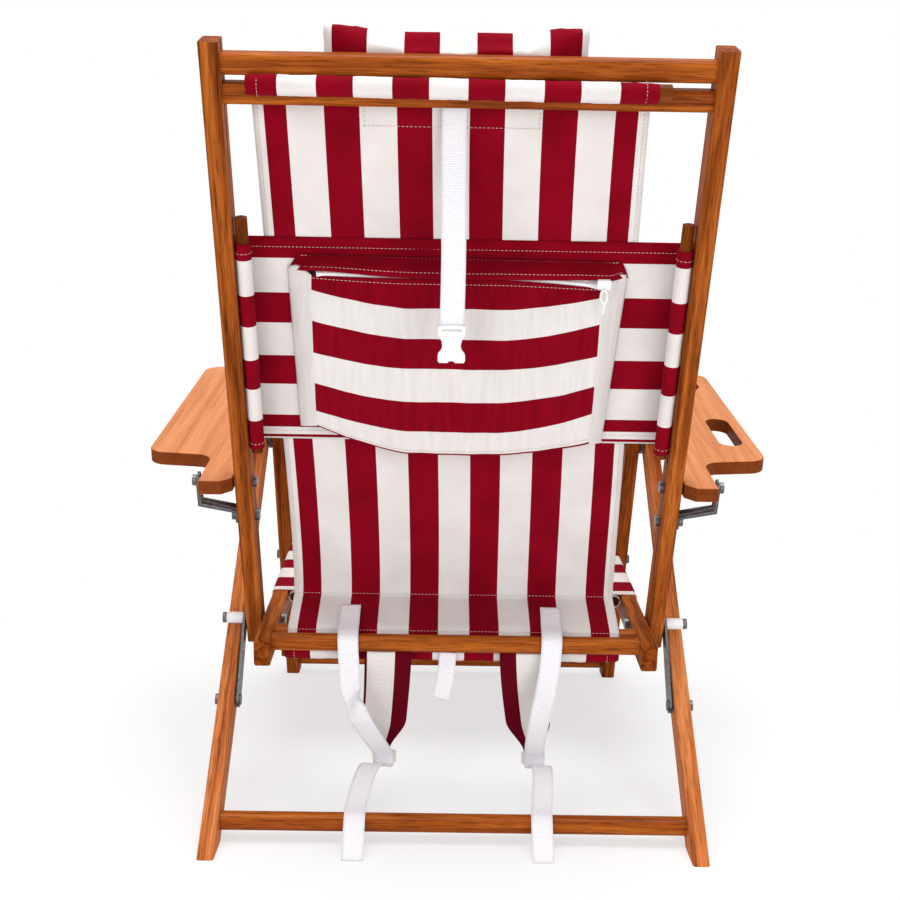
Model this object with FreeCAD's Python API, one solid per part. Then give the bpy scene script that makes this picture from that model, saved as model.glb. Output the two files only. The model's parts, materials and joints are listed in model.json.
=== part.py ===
import FreeCAD, Part
import math
import os

from FreeCAD import Vector

os.makedirs("parts", exist_ok=True)

# A folding wooden beach chair, carried on the back like a rucksack.
# All sizes are in millimetres. X runs across the chair, Y towards its front and Z up.
# Both side frames are alike, so each wooden piece is made once per side in its own layer along X.
# The seat pivot, where the back posts and the seat rails meet, is the point that sizes are taken from.

# Timber sections
STOCK_THICK = 19.0
STOCK_DEEP = 32.0
EDGE_ROUND = 3.0
BAR_SIZE = 21.0
BAR_ROUND = 6.0
ROUND_BAR_R = 10.25
LEG_BAR_R = 10.5
FRONT_BAR_R = 9.0

# Layers across the chair, from the outer face of a back post
POST_OUT = 256.0
RAIL_GAP = 3.5
LINK_GAP = 2.0
PLATE_THICK = 3.0
ARM_GAP = 2.6

# Pivots in the side view
SEAT_PIVOT_H = 208.0
SEAT_LINK = 297.0
POST_LINK = 198.0
POST_LEAN = 70.6
RAIL_SLOPE = 3.2
ARM_SLOPE = 9.4
RAIL_PIVOT_UP = 3.4
LINK_FOOT_DROP = 180.0

# Lengths of the members
POST_TOP = 687.0
POST_TAIL = 25.0
RAIL_REAR = 100.0
RAIL_FRONT = 388.0
LEG_HEAD = 16.0

# Bolts, roller and running room
BOLT_R = 4.0
RUNNING = 0.05
HEAD_R = 6.5
HEAD_H = 5.0
THIN_HEAD_H = 1.6
ROLLER_R = 7.0
ROLLER_LONG = 20.0
ROLLER_ROOM = 0.3
REST_GAP = 0.3

# Arms
ARM_THICK = 17.0
ARM_TAIL = 24.0
ARM_LONG = 450.0
ARM_NECK_WIDE = 37.0
ARM_NECK_LONG = 62.0
ARM_WIDE = 116.5
ARM_CORNER_R = 22.0
ARM_NOTCH_R = 20.0
ARM_CHAMFER = 12.0
CUP_R = 38.0
CUP_INSET = 60.0
CUP_ALONG = ARM_LONG - CUP_INSET
PHONE_SLOT_LONG = 108.0
PHONE_SLOT_WIDE = 30.0
PHONE_SLOT_ALONG = 178.0
BRACKET_DROP = 46.0
BRACKET_WIDE = 14.0
BRACKET_SHELF = 36.0
APEX_PLATE_WIDE = 30.0
APEX_FLANGE = 30.0
SCREW_R = 3.5
SCREW_PITCH = 18.0

# Cloth
CLOTH = 1.6
CLOTH_ROOM = 0.3
SLING_WIDE = 392.0
SLING_X = -10.0
SLING_DOWEL_R = 8.0
SLING_DOWEL_LONG = 398.0
SLING_DOWEL_X = -6.0
ROLL_DROP = 3.0
CREASE_OUT = 21.9
CREASE_UP = 30.0
SLING_OVERLAP = 12.0
PANEL_DOWEL_R = 6.35
POST_SLOT_FROM = 232.0
POST_SLOT_TO = 514.0
POST_SLOT_BACK = 4.0
SLOT_WIDE = 5.0
PANEL_FROM = 246.0
PANEL_TO = 487.0
PANEL_DOWEL_FROM = 240.0
PANEL_DOWEL_TO = 514.0
FRONT_BAR_INSET = 14.0
FRONT_BAR_ROOM = 14.0
FRONT_BAR_AT = RAIL_FRONT - FRONT_BAR_INSET
SEAT_PANEL_FROM = 64.0
SEAT_PANEL_TO = FRONT_BAR_AT - FRONT_BAR_ROOM
RAIL_SLOT_UP = 7.0
RAIL_SLOT_END = 4.0

# Bars that stiffen the frame
TOP_BAR_INSET = 21.2
TOP_BAR_PITCH = 27.6
TOP_BAR_AT = POST_TOP - TOP_BAR_INSET
LOW_BAR_AT = TOP_BAR_AT - TOP_BAR_PITCH
REAR_BAR_BACK = 80.0
REAR_BAR_UP = -1.5
REAR_BAR_PITCH = 26.0
FRONT_BAR_DOWN = 2.0
FRONT_LEG_BAR_H = 22.0
REAR_LEG_BAR_UP = 33.5

# Pouch, pillow and webbing
POUCH_WIDE = 364.0
POUCH_FROM = 238.0
POUCH_TO = 478.0
POUCH_DEEP = 40.0
ZIP_AT = 451.0
ZIP_END_ROOM = 24.0
ZIP_LONG = POUCH_WIDE - 2 * ZIP_END_ROOM
ZIP_WIDE = 12.0
ZIP_THICK = 1.2
SLIDER_INSET = 12.0
SLIDER_AT = ZIP_LONG / 2 - SLIDER_INSET
SLIDER_WIDE = 10.0
SLIDER_LONG = 14.0
SLIDER_THICK = 4.0
PULL_LONG = 26.0
PULL_R = 1.6
PILLOW_WIDE = 250.0
PILLOW_HIGH = 132.0
PILLOW_THICK = 56.0
PILLOW_INSET = 56.0
PILLOW_AT = POST_TOP - PILLOW_INSET
WEB_WIDE = 25.0
WEB_THICK = 1.6
WEB_X = -10.0
WEB_INSET = 65.0
WEB_FROM = POST_TOP - WEB_INSET
WEB_LONG = 214.0
BUCKLE_WIDE = 28.0
BUCKLE_LONG = 35.0
BUCKLE_THICK = 9.0
STRAP_WIDE = 54.0
STRAP_LONG = 138.0
STRAP_THICK = 13.0
STRAP_X = 80.0
STRAP_WEB = 20.0
WEB_SPREAD_LEFT = 44.0
WEB_SPREAD_RIGHT = 34.0
WEB_END_SHARE = 0.8
ADJUSTER_WIDE = 29.0
ADJUSTER_LONG = 15.0
ADJUSTER_THICK = 8.0
ADJUSTER_BACK = 3.0
TAIL_WEB_LONG = 52.0
WEB_LAP = 24.0
WEB_END_UP = 8.0
WEB_END_OUT = 46.0

# Layer positions that follow from the sizes above
POST_IN = POST_OUT - STOCK_THICK
RAIL_OUT = POST_IN - RAIL_GAP
RAIL_IN = RAIL_OUT - STOCK_THICK
LINK_IN = POST_OUT + LINK_GAP
LINK_OUT = LINK_IN + PLATE_THICK
LEG_IN = LINK_OUT + LINK_GAP
LEG_OUT = LEG_IN + STOCK_THICK
ARM_IN = POST_OUT + ARM_GAP
HALF_DEEP = STOCK_DEEP / 2


def turned(length, degrees):
    angle = math.radians(degrees)
    return Vector(0, length * math.cos(angle), length * math.sin(angle))


# Pivots: the post, arm, front leg and seat rail make a parallelogram
SEAT_PIVOT = Vector(0, 0, SEAT_PIVOT_H)
FRONT_PIVOT = SEAT_PIVOT + Vector(0, SEAT_LINK, 0)
ARM_PIVOT = SEAT_PIVOT + turned(POST_LINK, 180 - POST_LEAN)
APEX = FRONT_PIVOT + (ARM_PIVOT - SEAT_PIVOT)

# The rear leg hangs from the apex and passes just under the roller at the seat pivot
ROLLER_STAND = HALF_DEEP + ROLLER_R + ROLLER_ROOM
TO_APEX = APEX - SEAT_PIVOT
LEG_LEAN = math.degrees(math.atan2(TO_APEX.z, TO_APEX.y) + math.asin(ROLLER_STAND / TO_APEX.Length))
LEG_REACH = APEX.z / math.sin(math.radians(LEG_LEAN))
LINK_PIVOT = APEX - turned(LEG_REACH - LINK_FOOT_DROP, LEG_LEAN)


class Frame:
    """A side-view frame: across stays X, along and up are turned about X and start at a pivot."""

    def __init__(self, origin, degrees):
        self.place = FreeCAD.Placement(origin, FreeCAD.Rotation(Vector(1, 0, 0), degrees))

    def put(self, shape):
        moved = shape.copy()
        moved.Placement = self.place.multiply(moved.Placement)
        return moved

    def at(self, x, along, up):
        return self.place.multVec(Vector(x, along, up))

    def local(self, point):
        return self.place.inverse().multVec(point)


POST = Frame(SEAT_PIVOT, 90 - POST_LEAN)
FRONT_LEG = Frame(FRONT_PIVOT, 90 - POST_LEAN)
REAR_LEG = Frame(APEX, LEG_LEAN - 90)
RAIL = Frame(SEAT_PIVOT - turned(RAIL_PIVOT_UP, 90 + RAIL_SLOPE), RAIL_SLOPE)
ARM = Frame(ARM_PIVOT, ARM_SLOPE)
TO_SEAT = SEAT_PIVOT - LINK_PIVOT
LINK = Frame(LINK_PIVOT, math.degrees(math.atan2(TO_SEAT.z, TO_SEAT.y)) - 90)


def box(x0, x1, y0, y1, z0, z1):
    return Part.makeBox(x1 - x0, y1 - y0, z1 - z0, Vector(x0, y0, z0))


def rod_x(radius, x0, x1, y=0.0, z=0.0):
    return Part.makeCylinder(radius, x1 - x0, Vector(x0, y, z), Vector(1, 0, 0))


def rod_z(radius, x, y, z0, z1):
    return Part.makeCylinder(radius, z1 - z0, Vector(x, y, z0), Vector(0, 0, 1))


def rod_y(radius, x, z, y0, y1):
    return Part.makeCylinder(radius, y1 - y0, Vector(x, y0, z), Vector(0, 1, 0))


def rounded(solid, radius, direction):
    edges = []
    for edge in solid.Edges:
        if edge.Curve.TypeId != "Part::GeomLine":
            continue
        if abs(edge.Curve.Direction.dot(direction)) > 0.999:
            edges.append(edge)
    return solid.makeFillet(radius, edges)


def mirrored(shape):
    return shape.mirror(Vector(0, 0, 0), Vector(1, 0, 0))


def sheet_x(points, x0, x1):
    """A flat outline in the side view, given as (y, z) pairs, pulled across X."""
    corners = [Vector(x0, y, z) for y, z in points]
    face = Part.Face(Part.makePolygon(corners + corners[:1]))
    return face.extrude(Vector(x1 - x0, 0, 0))


def ribbon(points, width, thick):
    """A flat strap with its width along X, through points that are the middle of its thickness."""
    rings = []
    for i, point in enumerate(points):
        before = points[max(i - 1, 0)]
        after = points[min(i + 1, len(points) - 1)]
        run = after - before
        normal = Vector(0, -run.z, run.y).normalize()
        across = Vector(width / 2, 0, 0)
        depth = normal * (thick / 2)
        rings.append([point - across - depth, point + across - depth,
                      point + across + depth, point - across + depth])
    outlines = [rings[0], rings[-1]]
    for near, far in zip(rings, rings[1:]):
        outlines.append([near[0], near[1], far[1], far[0]])
        outlines.append([near[3], near[2], far[2], far[3]])
        for low, high in ((0, 3), (1, 2)):
            outlines.append([near[low], near[high], far[high]])
            outlines.append([near[low], far[high], far[low]])
    faces = [Part.Face(Part.makePolygon(corners + corners[:1])) for corners in outlines]
    solid = Part.Solid(Part.Shell(faces))
    if solid.Volume < 0:
        solid.reverse()
    return solid


def bolt(x0, x1, head_h, nut_h, radius=BOLT_R, head_r=HEAD_R):
    """A bolt along X, its head before x0 and its nut after x1."""
    pieces = rod_x(radius, x0, x1)
    if head_h:
        pieces = pieces.fuse(rod_x(head_r, x0 - head_h, x0))
    if nut_h:
        pieces = pieces.fuse(rod_x(head_r, x1, x1 + nut_h))
    return pieces.removeSplitter()


def pair(shape):
    return Part.makeCompound([mirrored(shape), shape])


NODES = {}


# Back posts, with the cloth slot and the pivot holes
def back_post():
    post = box(POST_IN, POST_OUT, -HALF_DEEP, HALF_DEEP, -POST_TAIL, POST_TOP)
    post = rounded(post, EDGE_ROUND, Vector(0, 0, 1))
    slot = box(POST_IN - 1, POST_OUT + 1, -POST_SLOT_BACK - SLOT_WIDE / 2, -POST_SLOT_BACK + SLOT_WIDE / 2,
               POST_SLOT_FROM, POST_SLOT_TO)
    holes = [slot]
    for at in (0.0, POST_LINK, POST_LINK - BRACKET_DROP):
        holes.append(rod_x(BOLT_R + RUNNING, POST_IN - 1, POST_OUT + 1, 0, at))
    return POST.put(post.cut(holes))


right = back_post()
NODES["back_post_right"] = right
NODES["back_post_left"] = mirrored(right)


# Two bars across the top of the back and the gap that the sling passes through
def top_bar(at):
    half = BAR_SIZE / 2
    bar = box(-POST_IN, POST_IN, -half, half, at - half, at + half)
    return POST.put(rounded(bar, BAR_ROUND, Vector(1, 0, 0)))


NODES["top_bar_upper"] = top_bar(TOP_BAR_AT)
NODES["top_bar_lower"] = top_bar(LOW_BAR_AT)


# Seat rails, with the cloth slot and the pivot holes
FRONT_IN_RAIL = RAIL.local(FRONT_PIVOT)
PIVOT_IN_RAIL = RAIL.local(SEAT_PIVOT)


def seat_rail():
    rail = box(RAIL_IN, RAIL_OUT, -RAIL_REAR, RAIL_FRONT, -HALF_DEEP, HALF_DEEP)
    rail = rounded(rail, EDGE_ROUND, Vector(0, 1, 0))
    holes = [box(RAIL_IN - 1, RAIL_OUT + 1, SEAT_PANEL_FROM - RAIL_SLOT_END, SEAT_PANEL_TO + RAIL_SLOT_END,
                 RAIL_SLOT_UP - SLOT_WIDE / 2, RAIL_SLOT_UP + SLOT_WIDE / 2)]
    for spot in (PIVOT_IN_RAIL, FRONT_IN_RAIL):
        holes.append(rod_x(BOLT_R + RUNNING, RAIL_IN - 1, RAIL_OUT + 1, spot.y, spot.z))
    return RAIL.put(rail.cut(holes))


right = seat_rail()
NODES["seat_rail_right"] = right
NODES["seat_rail_left"] = mirrored(right)

# Bars between the seat rails
REAR_BAR = SEAT_PIVOT + Vector(0, -REAR_BAR_BACK, REAR_BAR_UP)
SECOND_BAR = REAR_BAR + turned(REAR_BAR_PITCH, RAIL_SLOPE)
NODES["seat_rear_bar"] = rod_x(ROUND_BAR_R, -RAIL_IN, RAIL_IN, REAR_BAR.y, REAR_BAR.z)
NODES["seat_second_bar"] = rod_x(ROUND_BAR_R, -RAIL_IN, RAIL_IN, SECOND_BAR.y, SECOND_BAR.z)
NODES["seat_front_bar"] = RAIL.put(rod_x(ROUND_BAR_R, -RAIL_IN, RAIL_IN, FRONT_BAR_AT, -FRONT_BAR_DOWN))


# Legs, cut flat where they stand on the floor
FLOOR = box(-2 * POST_OUT, 2 * POST_OUT, -3 * SEAT_LINK, 3 * SEAT_LINK, -SEAT_LINK, 0)


def front_leg():
    foot = FRONT_PIVOT.z / math.sin(math.radians(POST_LEAN)) + STOCK_DEEP
    leg = box(POST_IN, POST_OUT, -HALF_DEEP, HALF_DEEP, -foot, POST_LINK + LEG_HEAD)
    leg = rounded(leg, EDGE_ROUND, Vector(0, 0, 1))
    holes = [rod_x(BOLT_R + RUNNING, POST_IN - 1, POST_OUT + 1, 0, at) for at in (0.0, POST_LINK)]
    return FRONT_LEG.put(leg.cut(holes)).cut(FLOOR)


def rear_leg():
    leg = box(LEG_IN, LEG_OUT, -HALF_DEEP, HALF_DEEP, -LEG_REACH - STOCK_DEEP, LEG_HEAD)
    leg = rounded(leg, EDGE_ROUND, Vector(0, 0, 1))
    holes = [rod_x(BOLT_R + RUNNING, LEG_IN - 1, LEG_OUT + 1, 0, at)
             for at in (0.0, LINK_FOOT_DROP - LEG_REACH)]
    return REAR_LEG.put(leg.cut(holes)).cut(FLOOR)


right = front_leg()
NODES["front_leg_right"] = right
NODES["front_leg_left"] = mirrored(right)
right = rear_leg()
NODES["rear_leg_right"] = right
NODES["rear_leg_left"] = mirrored(right)
FRONT_BAR_DROP = (FRONT_PIVOT.z - FRONT_LEG_BAR_H) / math.sin(math.radians(POST_LEAN))
NODES["front_leg_bar"] = FRONT_LEG.put(rod_x(FRONT_BAR_R, -POST_IN, POST_IN, 0, -FRONT_BAR_DROP))
NODES["rear_leg_bar"] = REAR_LEG.put(rod_x(LEG_BAR_R, -LEG_IN, LEG_IN, 0, REAR_LEG_BAR_UP - LEG_REACH))


# Arms: a narrow neck at the pivot and a paddle in front of it
def arm_blank():
    neck = ARM_IN + ARM_NECK_WIDE
    wide = ARM_IN + ARM_WIDE
    points = [(ARM_IN, ARM_LONG), (ARM_IN, ARM_CHAMFER - ARM_TAIL), (ARM_IN + ARM_CHAMFER, -ARM_TAIL),
              (neck, -ARM_TAIL), (neck, ARM_NECK_LONG),
              (wide, ARM_NECK_LONG + ARM_NOTCH_R / 2), (wide, ARM_LONG)]
    corners = [Vector(x, y, -ARM_THICK / 2) for x, y in points]
    blank = Part.Face(Part.makePolygon(corners + corners[:1])).extrude(Vector(0, 0, ARM_THICK))
    upright = [edge for edge in blank.Edges if abs(edge.tangentAt(edge.FirstParameter).z) > 0.999]

    def edges_at(x, y):
        return [e for e in upright if abs(e.Vertexes[0].X - x) < 0.01 and abs(e.Vertexes[0].Y - y) < 0.01]

    blank = blank.makeFillet(ARM_CORNER_R, edges_at(wide, ARM_NECK_LONG + ARM_NOTCH_R / 2)
                             + edges_at(wide, ARM_LONG)
                             + edges_at(ARM_IN, ARM_LONG))
    straight = [e for e in blank.Edges if e.Curve.TypeId == "Part::GeomLine"]
    upright = [e for e in straight if abs(e.Curve.Direction.z) > 0.999]
    return blank.makeFillet(ARM_NOTCH_R, edges_at(neck, ARM_NECK_LONG))


def arm(with_holders):
    blank = arm_blank()
    flats = [e for e in blank.Edges if abs(e.BoundBox.ZMax - e.BoundBox.ZMin) < 0.01]
    blank = blank.makeFillet(EDGE_ROUND / 2, flats)
    holes = [rod_x(BOLT_R + RUNNING, ARM_IN - 1, ARM_IN + ARM_NECK_WIDE + 1)]
    if with_holders:
        middle = ARM_IN + ARM_WIDE / 2
        holes.append(rod_z(CUP_R, middle, CUP_ALONG, -ARM_THICK, ARM_THICK))
        slot_x = ARM_IN + ARM_WIDE - PHONE_SLOT_WIDE
        half = PHONE_SLOT_WIDE / 2
        run = PHONE_SLOT_LONG / 2 - half
        slot = box(slot_x - half, slot_x + half, PHONE_SLOT_ALONG - run, PHONE_SLOT_ALONG + run,
                   -ARM_THICK, ARM_THICK)
        for end in (PHONE_SLOT_ALONG - run, PHONE_SLOT_ALONG + run):
            slot = slot.fuse(rod_z(half, slot_x, end, -ARM_THICK, ARM_THICK))
        holes.append(slot)
    return ARM.put(blank.cut(holes))


NODES["arm_right"] = arm(True)
NODES["arm_left"] = mirrored(arm(False))


# Bent flat brackets that tie the outer end of each arm bolt to its post
BRACKET_OUT = ARM_IN + ARM_NECK_WIDE + ARM_GAP


def arm_bracket():
    half = BRACKET_WIDE / 2
    low = POST_LINK - BRACKET_DROP
    shelf = POST_LINK - BRACKET_SHELF
    foot = box(POST_OUT, POST_OUT + PLATE_THICK, -half, half, low - half, shelf)
    run = box(POST_OUT, BRACKET_OUT + PLATE_THICK, -half, half, shelf - PLATE_THICK, shelf)
    rise = box(BRACKET_OUT, BRACKET_OUT + PLATE_THICK, -half, half, shelf - PLATE_THICK, POST_LINK + half)
    strap = foot.fuse([run, rise]).removeSplitter()
    holes = [rod_x(BOLT_R + RUNNING, POST_OUT - 1, BRACKET_OUT + 10, 0, POST_LINK),
             rod_x(BOLT_R + RUNNING, POST_OUT - 1, POST_OUT + 10, 0, low)]
    return POST.put(strap.cut(holes))


NODES["arm_brackets"] = pair(arm_bracket())
POST_PIN = Frame(POST.at(0, 0, POST_LINK), 90 - POST_LEAN)
NODES["arm_bolts"] = pair(POST_PIN.put(bolt(POST_IN, BRACKET_OUT + PLATE_THICK, HEAD_H, HEAD_H)))
BRACKET_PIN = Frame(POST.at(0, 0, POST_LINK - BRACKET_DROP), 90 - POST_LEAN)
NODES["bracket_bolts"] = pair(BRACKET_PIN.put(bolt(POST_IN, POST_OUT + PLATE_THICK, HEAD_H, HEAD_H)))

# Plates that hang the apex of the legs under each arm
APEX_IN_ARM = ARM.local(APEX)


def apex_bracket():
    half = APEX_PLATE_WIDE / 2
    under = -ARM_THICK / 2
    y = APEX_IN_ARM.y
    plate = box(LINK_IN, LINK_OUT, y - half, y + half, APEX_IN_ARM.z, under)
    plate = plate.fuse(rod_x(half, LINK_IN, LINK_OUT, y, APEX_IN_ARM.z))
    flange = box(LINK_IN, LINK_IN + APEX_FLANGE, y - half, y + half, under - PLATE_THICK, under)
    bracket = plate.fuse(flange).removeSplitter()
    return ARM.put(bracket.cut(rod_x(BOLT_R + RUNNING, LINK_IN - 1, LINK_OUT + 1, y, APEX_IN_ARM.z)))


right = apex_bracket()
NODES["apex_bracket_right"] = right
NODES["apex_bracket_left"] = mirrored(right)


def apex_screws():
    under = -ARM_THICK / 2 - PLATE_THICK
    x = LINK_IN + APEX_FLANGE * 0.6
    heads = [rod_z(SCREW_R, x, APEX_IN_ARM.y + side * SCREW_PITCH / 2, under - 2, under) for side in (-1, 1)]
    return ARM.put(Part.makeCompound(heads))


right = apex_screws()
NODES["apex_screws"] = Part.makeCompound(mirrored(right).Solids + right.Solids)

# Pivot bolts of the seat and of the legs
SEAT_PIN = Frame(SEAT_PIVOT, RAIL_SLOPE)
NODES["seat_pivot_bolts"] = pair(SEAT_PIN.put(bolt(RAIL_IN, POST_OUT, HEAD_H, 0)))
FRONT_PIN = Frame(FRONT_PIVOT, RAIL_SLOPE)
NODES["front_pivot_bolts"] = pair(FRONT_PIN.put(bolt(RAIL_IN, POST_OUT, HEAD_H, HEAD_H)))
APEX_PIN = Frame(APEX, 90 - POST_LEAN)
NODES["apex_bolts"] = pair(APEX_PIN.put(bolt(POST_IN, LEG_OUT, HEAD_H, HEAD_H)))
LINK_PIN = Frame(LINK_PIVOT, 0)
NODES["link_bolts"] = pair(LINK_PIN.put(bolt(LINK_IN, LEG_OUT, THIN_HEAD_H, HEAD_H)))


# Strap links, each with a roller that rests on the rear leg and stops the chair opening further
LINK_LONG = (SEAT_PIVOT - LINK_PIVOT).Length


def link_strap():
    half = HEAD_R + PLATE_THICK
    strap = box(LINK_IN, LINK_OUT, -half, half, 0, LINK_LONG)
    strap = strap.fuse([rod_x(half, LINK_IN, LINK_OUT, 0, 0), rod_x(half, LINK_IN, LINK_OUT, 0, LINK_LONG)])
    strap = strap.removeSplitter()
    holes = [rod_x(BOLT_R + RUNNING, LINK_IN - 1, LINK_OUT + 1, 0, at) for at in (0, LINK_LONG)]
    return LINK.put(strap.cut(holes))


right = link_strap()
NODES["link_strap_right"] = right
NODES["link_strap_left"] = mirrored(right)


def roller():
    tube = rod_x(ROLLER_R, LINK_OUT + REST_GAP, LINK_OUT + REST_GAP + ROLLER_LONG)
    return SEAT_PIN.put(tube.cut(rod_x(BOLT_R + RUNNING, LINK_OUT - 1, LEG_OUT + 10)))


right = roller()
NODES["roller_right"] = right
NODES["roller_left"] = mirrored(right)
NODES["roller_bolts"] = pair(SEAT_PIN.put(bolt(LINK_IN, LINK_OUT + 2 * REST_GAP + ROLLER_LONG, 0, HEAD_H)))


# Dowels that hold the cloth
TUNNEL_R = PANEL_DOWEL_R + CLOTH_ROOM + CLOTH
PANEL_DOWEL_X = POST_IN - CLOTH_ROOM - TUNNEL_R
SEAT_DOWEL_X = RAIL_IN - CLOTH_ROOM - TUNNEL_R
right = POST.put(rod_z(PANEL_DOWEL_R, PANEL_DOWEL_X, -POST_SLOT_BACK, PANEL_DOWEL_FROM, PANEL_DOWEL_TO))
NODES["panel_dowel_right"] = right
NODES["panel_dowel_left"] = mirrored(right)
right = RAIL.put(rod_y(PANEL_DOWEL_R, SEAT_DOWEL_X, RAIL_SLOT_UP, SEAT_PANEL_FROM, SEAT_PANEL_TO))
NODES["seat_dowel_right"] = right
NODES["seat_dowel_left"] = mirrored(right)


# Panels that wrap both side members and end in tunnels on the dowels
def wrapped_panel(outer, inner, face, slot, dowel_x, start, end):
    """Made flat across the frame: the cloth's height is local Z, the face it lies on is local Y."""
    skin = outer + CLOTH_ROOM
    half = CLOTH / 2
    parts = [box(-skin - CLOTH, skin + CLOTH, face + CLOTH_ROOM, face + CLOTH_ROOM + CLOTH, start, end)]
    bores = []
    for side in (-1, 1):
        wall = box(skin, skin + CLOTH, slot - half, face + CLOTH_ROOM + CLOTH, start, end)
        through = box(dowel_x, skin + CLOTH, slot - half, slot + half, start, end)
        tunnel = rod_z(TUNNEL_R, dowel_x, slot, start, end)
        bore = rod_z(PANEL_DOWEL_R + CLOTH_ROOM, dowel_x, slot, start, end)
        for piece, group in ((wall, parts), (through, parts), (tunnel, parts), (bore, bores)):
            group.append(piece if side > 0 else mirrored(piece))
    return parts[0].fuse(parts[1:]).cut(bores).removeSplitter()


NODES["pouch_panel"] = POST.put(wrapped_panel(POST_OUT, POST_IN, HALF_DEEP, -POST_SLOT_BACK, PANEL_DOWEL_X,
                                              PANEL_FROM, PANEL_TO))
flat = wrapped_panel(RAIL_OUT, RAIL_IN, HALF_DEEP, RAIL_SLOT_UP, SEAT_DOWEL_X,
                     -SEAT_PANEL_TO, -SEAT_PANEL_FROM)
flat.rotate(Vector(0, 0, 0), Vector(1, 0, 0), 90)
NODES["seat_panel"] = RAIL.put(flat)

# Back sling: rolled hem at the top, over the lower bar, down in front of the pouch panel to a crease
# over the seat pivot, and from there back to the rear bars
SLING_ROLL_R = SLING_DOWEL_R + CLOTH_ROOM + CLOTH
GAP_AT = (TOP_BAR_AT + LOW_BAR_AT) / 2
ROLL_BACK = BAR_SIZE / 2 + SLING_ROLL_R - 2 * REST_GAP
FOOT_ROLL_DROP = math.sqrt((ROUND_BAR_R + SLING_ROLL_R + REST_GAP) ** 2 - (REAR_BAR_PITCH / 2) ** 2)
FOOT_ROLL = (REAR_BAR + SECOND_BAR) * 0.5 - turned(FOOT_ROLL_DROP, 90 + RAIL_SLOPE)
TOP_ROLL = POST.at(0, -ROLL_BACK, GAP_AT - ROLL_DROP)
CREASE = POST.at(0, CREASE_OUT, CREASE_UP)
WRAP_ROOM = 0.6
WRAP_STEPS = 5
half = SLING_DOWEL_LONG / 2
for name, spot in (("sling_top_dowel", TOP_ROLL), ("sling_foot_dowel", FOOT_ROLL)):
    NODES[name] = rod_x(SLING_DOWEL_R, SLING_DOWEL_X - half, SLING_DOWEL_X + half, spot.y, spot.z)

# Where the sling, coming down from the crease, first touches the second bar
SLING_WRAP_R = ROUND_BAR_R + WRAP_ROOM + CLOTH / 2
TO_CREASE = CREASE - SECOND_BAR
TOUCH = math.degrees(math.atan2(TO_CREASE.z, TO_CREASE.y) + math.acos(SLING_WRAP_R / TO_CREASE.Length))


def wrap(centre, radius, start, end):
    """Points round part of a bar, from one angle to the other, at a strap's middle radius."""
    step = (end - start) / WRAP_STEPS
    return [centre + turned(radius, start + i * step) for i in range(WRAP_STEPS + 1)]


def back_sling():
    front = BAR_SIZE / 2 + REST_GAP + CLOTH / 2
    on_panel = HALF_DEEP + CLOTH_ROOM + CLOTH + REST_GAP + CLOTH / 2
    edge = BAR_ROUND * 0.35
    low_top = LOW_BAR_AT + BAR_SIZE / 2
    path = [TOP_ROLL,
            POST.at(0, -BAR_SIZE / 2, GAP_AT),
            POST.at(0, front - BAR_ROUND + edge, GAP_AT),
            POST.at(0, front, low_top - BAR_ROUND + edge),
            POST.at(0, front, LOW_BAR_AT - BAR_SIZE / 2),
            POST.at(0, on_panel, PANEL_TO + SLING_OVERLAP),
            POST.at(0, on_panel, PANEL_FROM - SLING_OVERLAP),
            CREASE]
    path += wrap(SECOND_BAR, SLING_WRAP_R, TOUCH, 182)
    path.append(FOOT_ROLL)
    cloth = ribbon([point + Vector(SLING_X, 0, 0) for point in path], SLING_WIDE, CLOTH)
    low = SLING_X - SLING_WIDE / 2
    high = SLING_X + SLING_WIDE / 2
    rolls = [rod_x(SLING_ROLL_R, low, high, spot.y, spot.z) for spot in (TOP_ROLL, FOOT_ROLL)]
    bores = [rod_x(SLING_DOWEL_R + CLOTH_ROOM, low - 1, high + 1, spot.y, spot.z)
             for spot in (TOP_ROLL, FOOT_ROLL)]
    return cloth.fuse(rolls).cut(bores)


NODES["back_sling"] = back_sling()

# Pouch on the back of its panel, with a zip across the top and a slider that runs along it
POUCH_FACE = HALF_DEEP + CLOTH_ROOM
POUCH_REAR = POUCH_FACE - POUCH_DEEP
ZIP_FACE = POUCH_FACE - 0.62 * POUCH_DEEP


def pouch():
    low_round = POUCH_DEEP * 0.45
    points = [(POUCH_FACE, POUCH_TO), (ZIP_FACE, ZIP_AT + ZIP_WIDE), (ZIP_FACE, ZIP_AT - ZIP_WIDE),
              (POUCH_REAR, ZIP_AT - 5 * ZIP_WIDE), (POUCH_REAR, POUCH_FROM + low_round),
              (POUCH_REAR + low_round, POUCH_FROM), (POUCH_FACE, POUCH_FROM + low_round / 2)]
    bag = sheet_x(points, -POUCH_WIDE / 2, POUCH_WIDE / 2)
    return POST.put(bag)


NODES["pouch"] = pouch()
half = ZIP_LONG / 2
NODES["pouch_zip"] = POST.put(box(-half, half, ZIP_FACE - ZIP_THICK, ZIP_FACE,
                                  ZIP_AT - ZIP_WIDE / 2, ZIP_AT + ZIP_WIDE / 2))


def zip_slider():
    near = ZIP_FACE - ZIP_THICK - REST_GAP
    half_wide = SLIDER_LONG / 2
    body = box(SLIDER_AT - half_wide, SLIDER_AT + half_wide, near - SLIDER_THICK, near,
               ZIP_AT - SLIDER_WIDE / 2, ZIP_AT + SLIDER_WIDE / 2)
    return POST.put(rounded(body, 1.5, Vector(0, 1, 0)))


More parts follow.
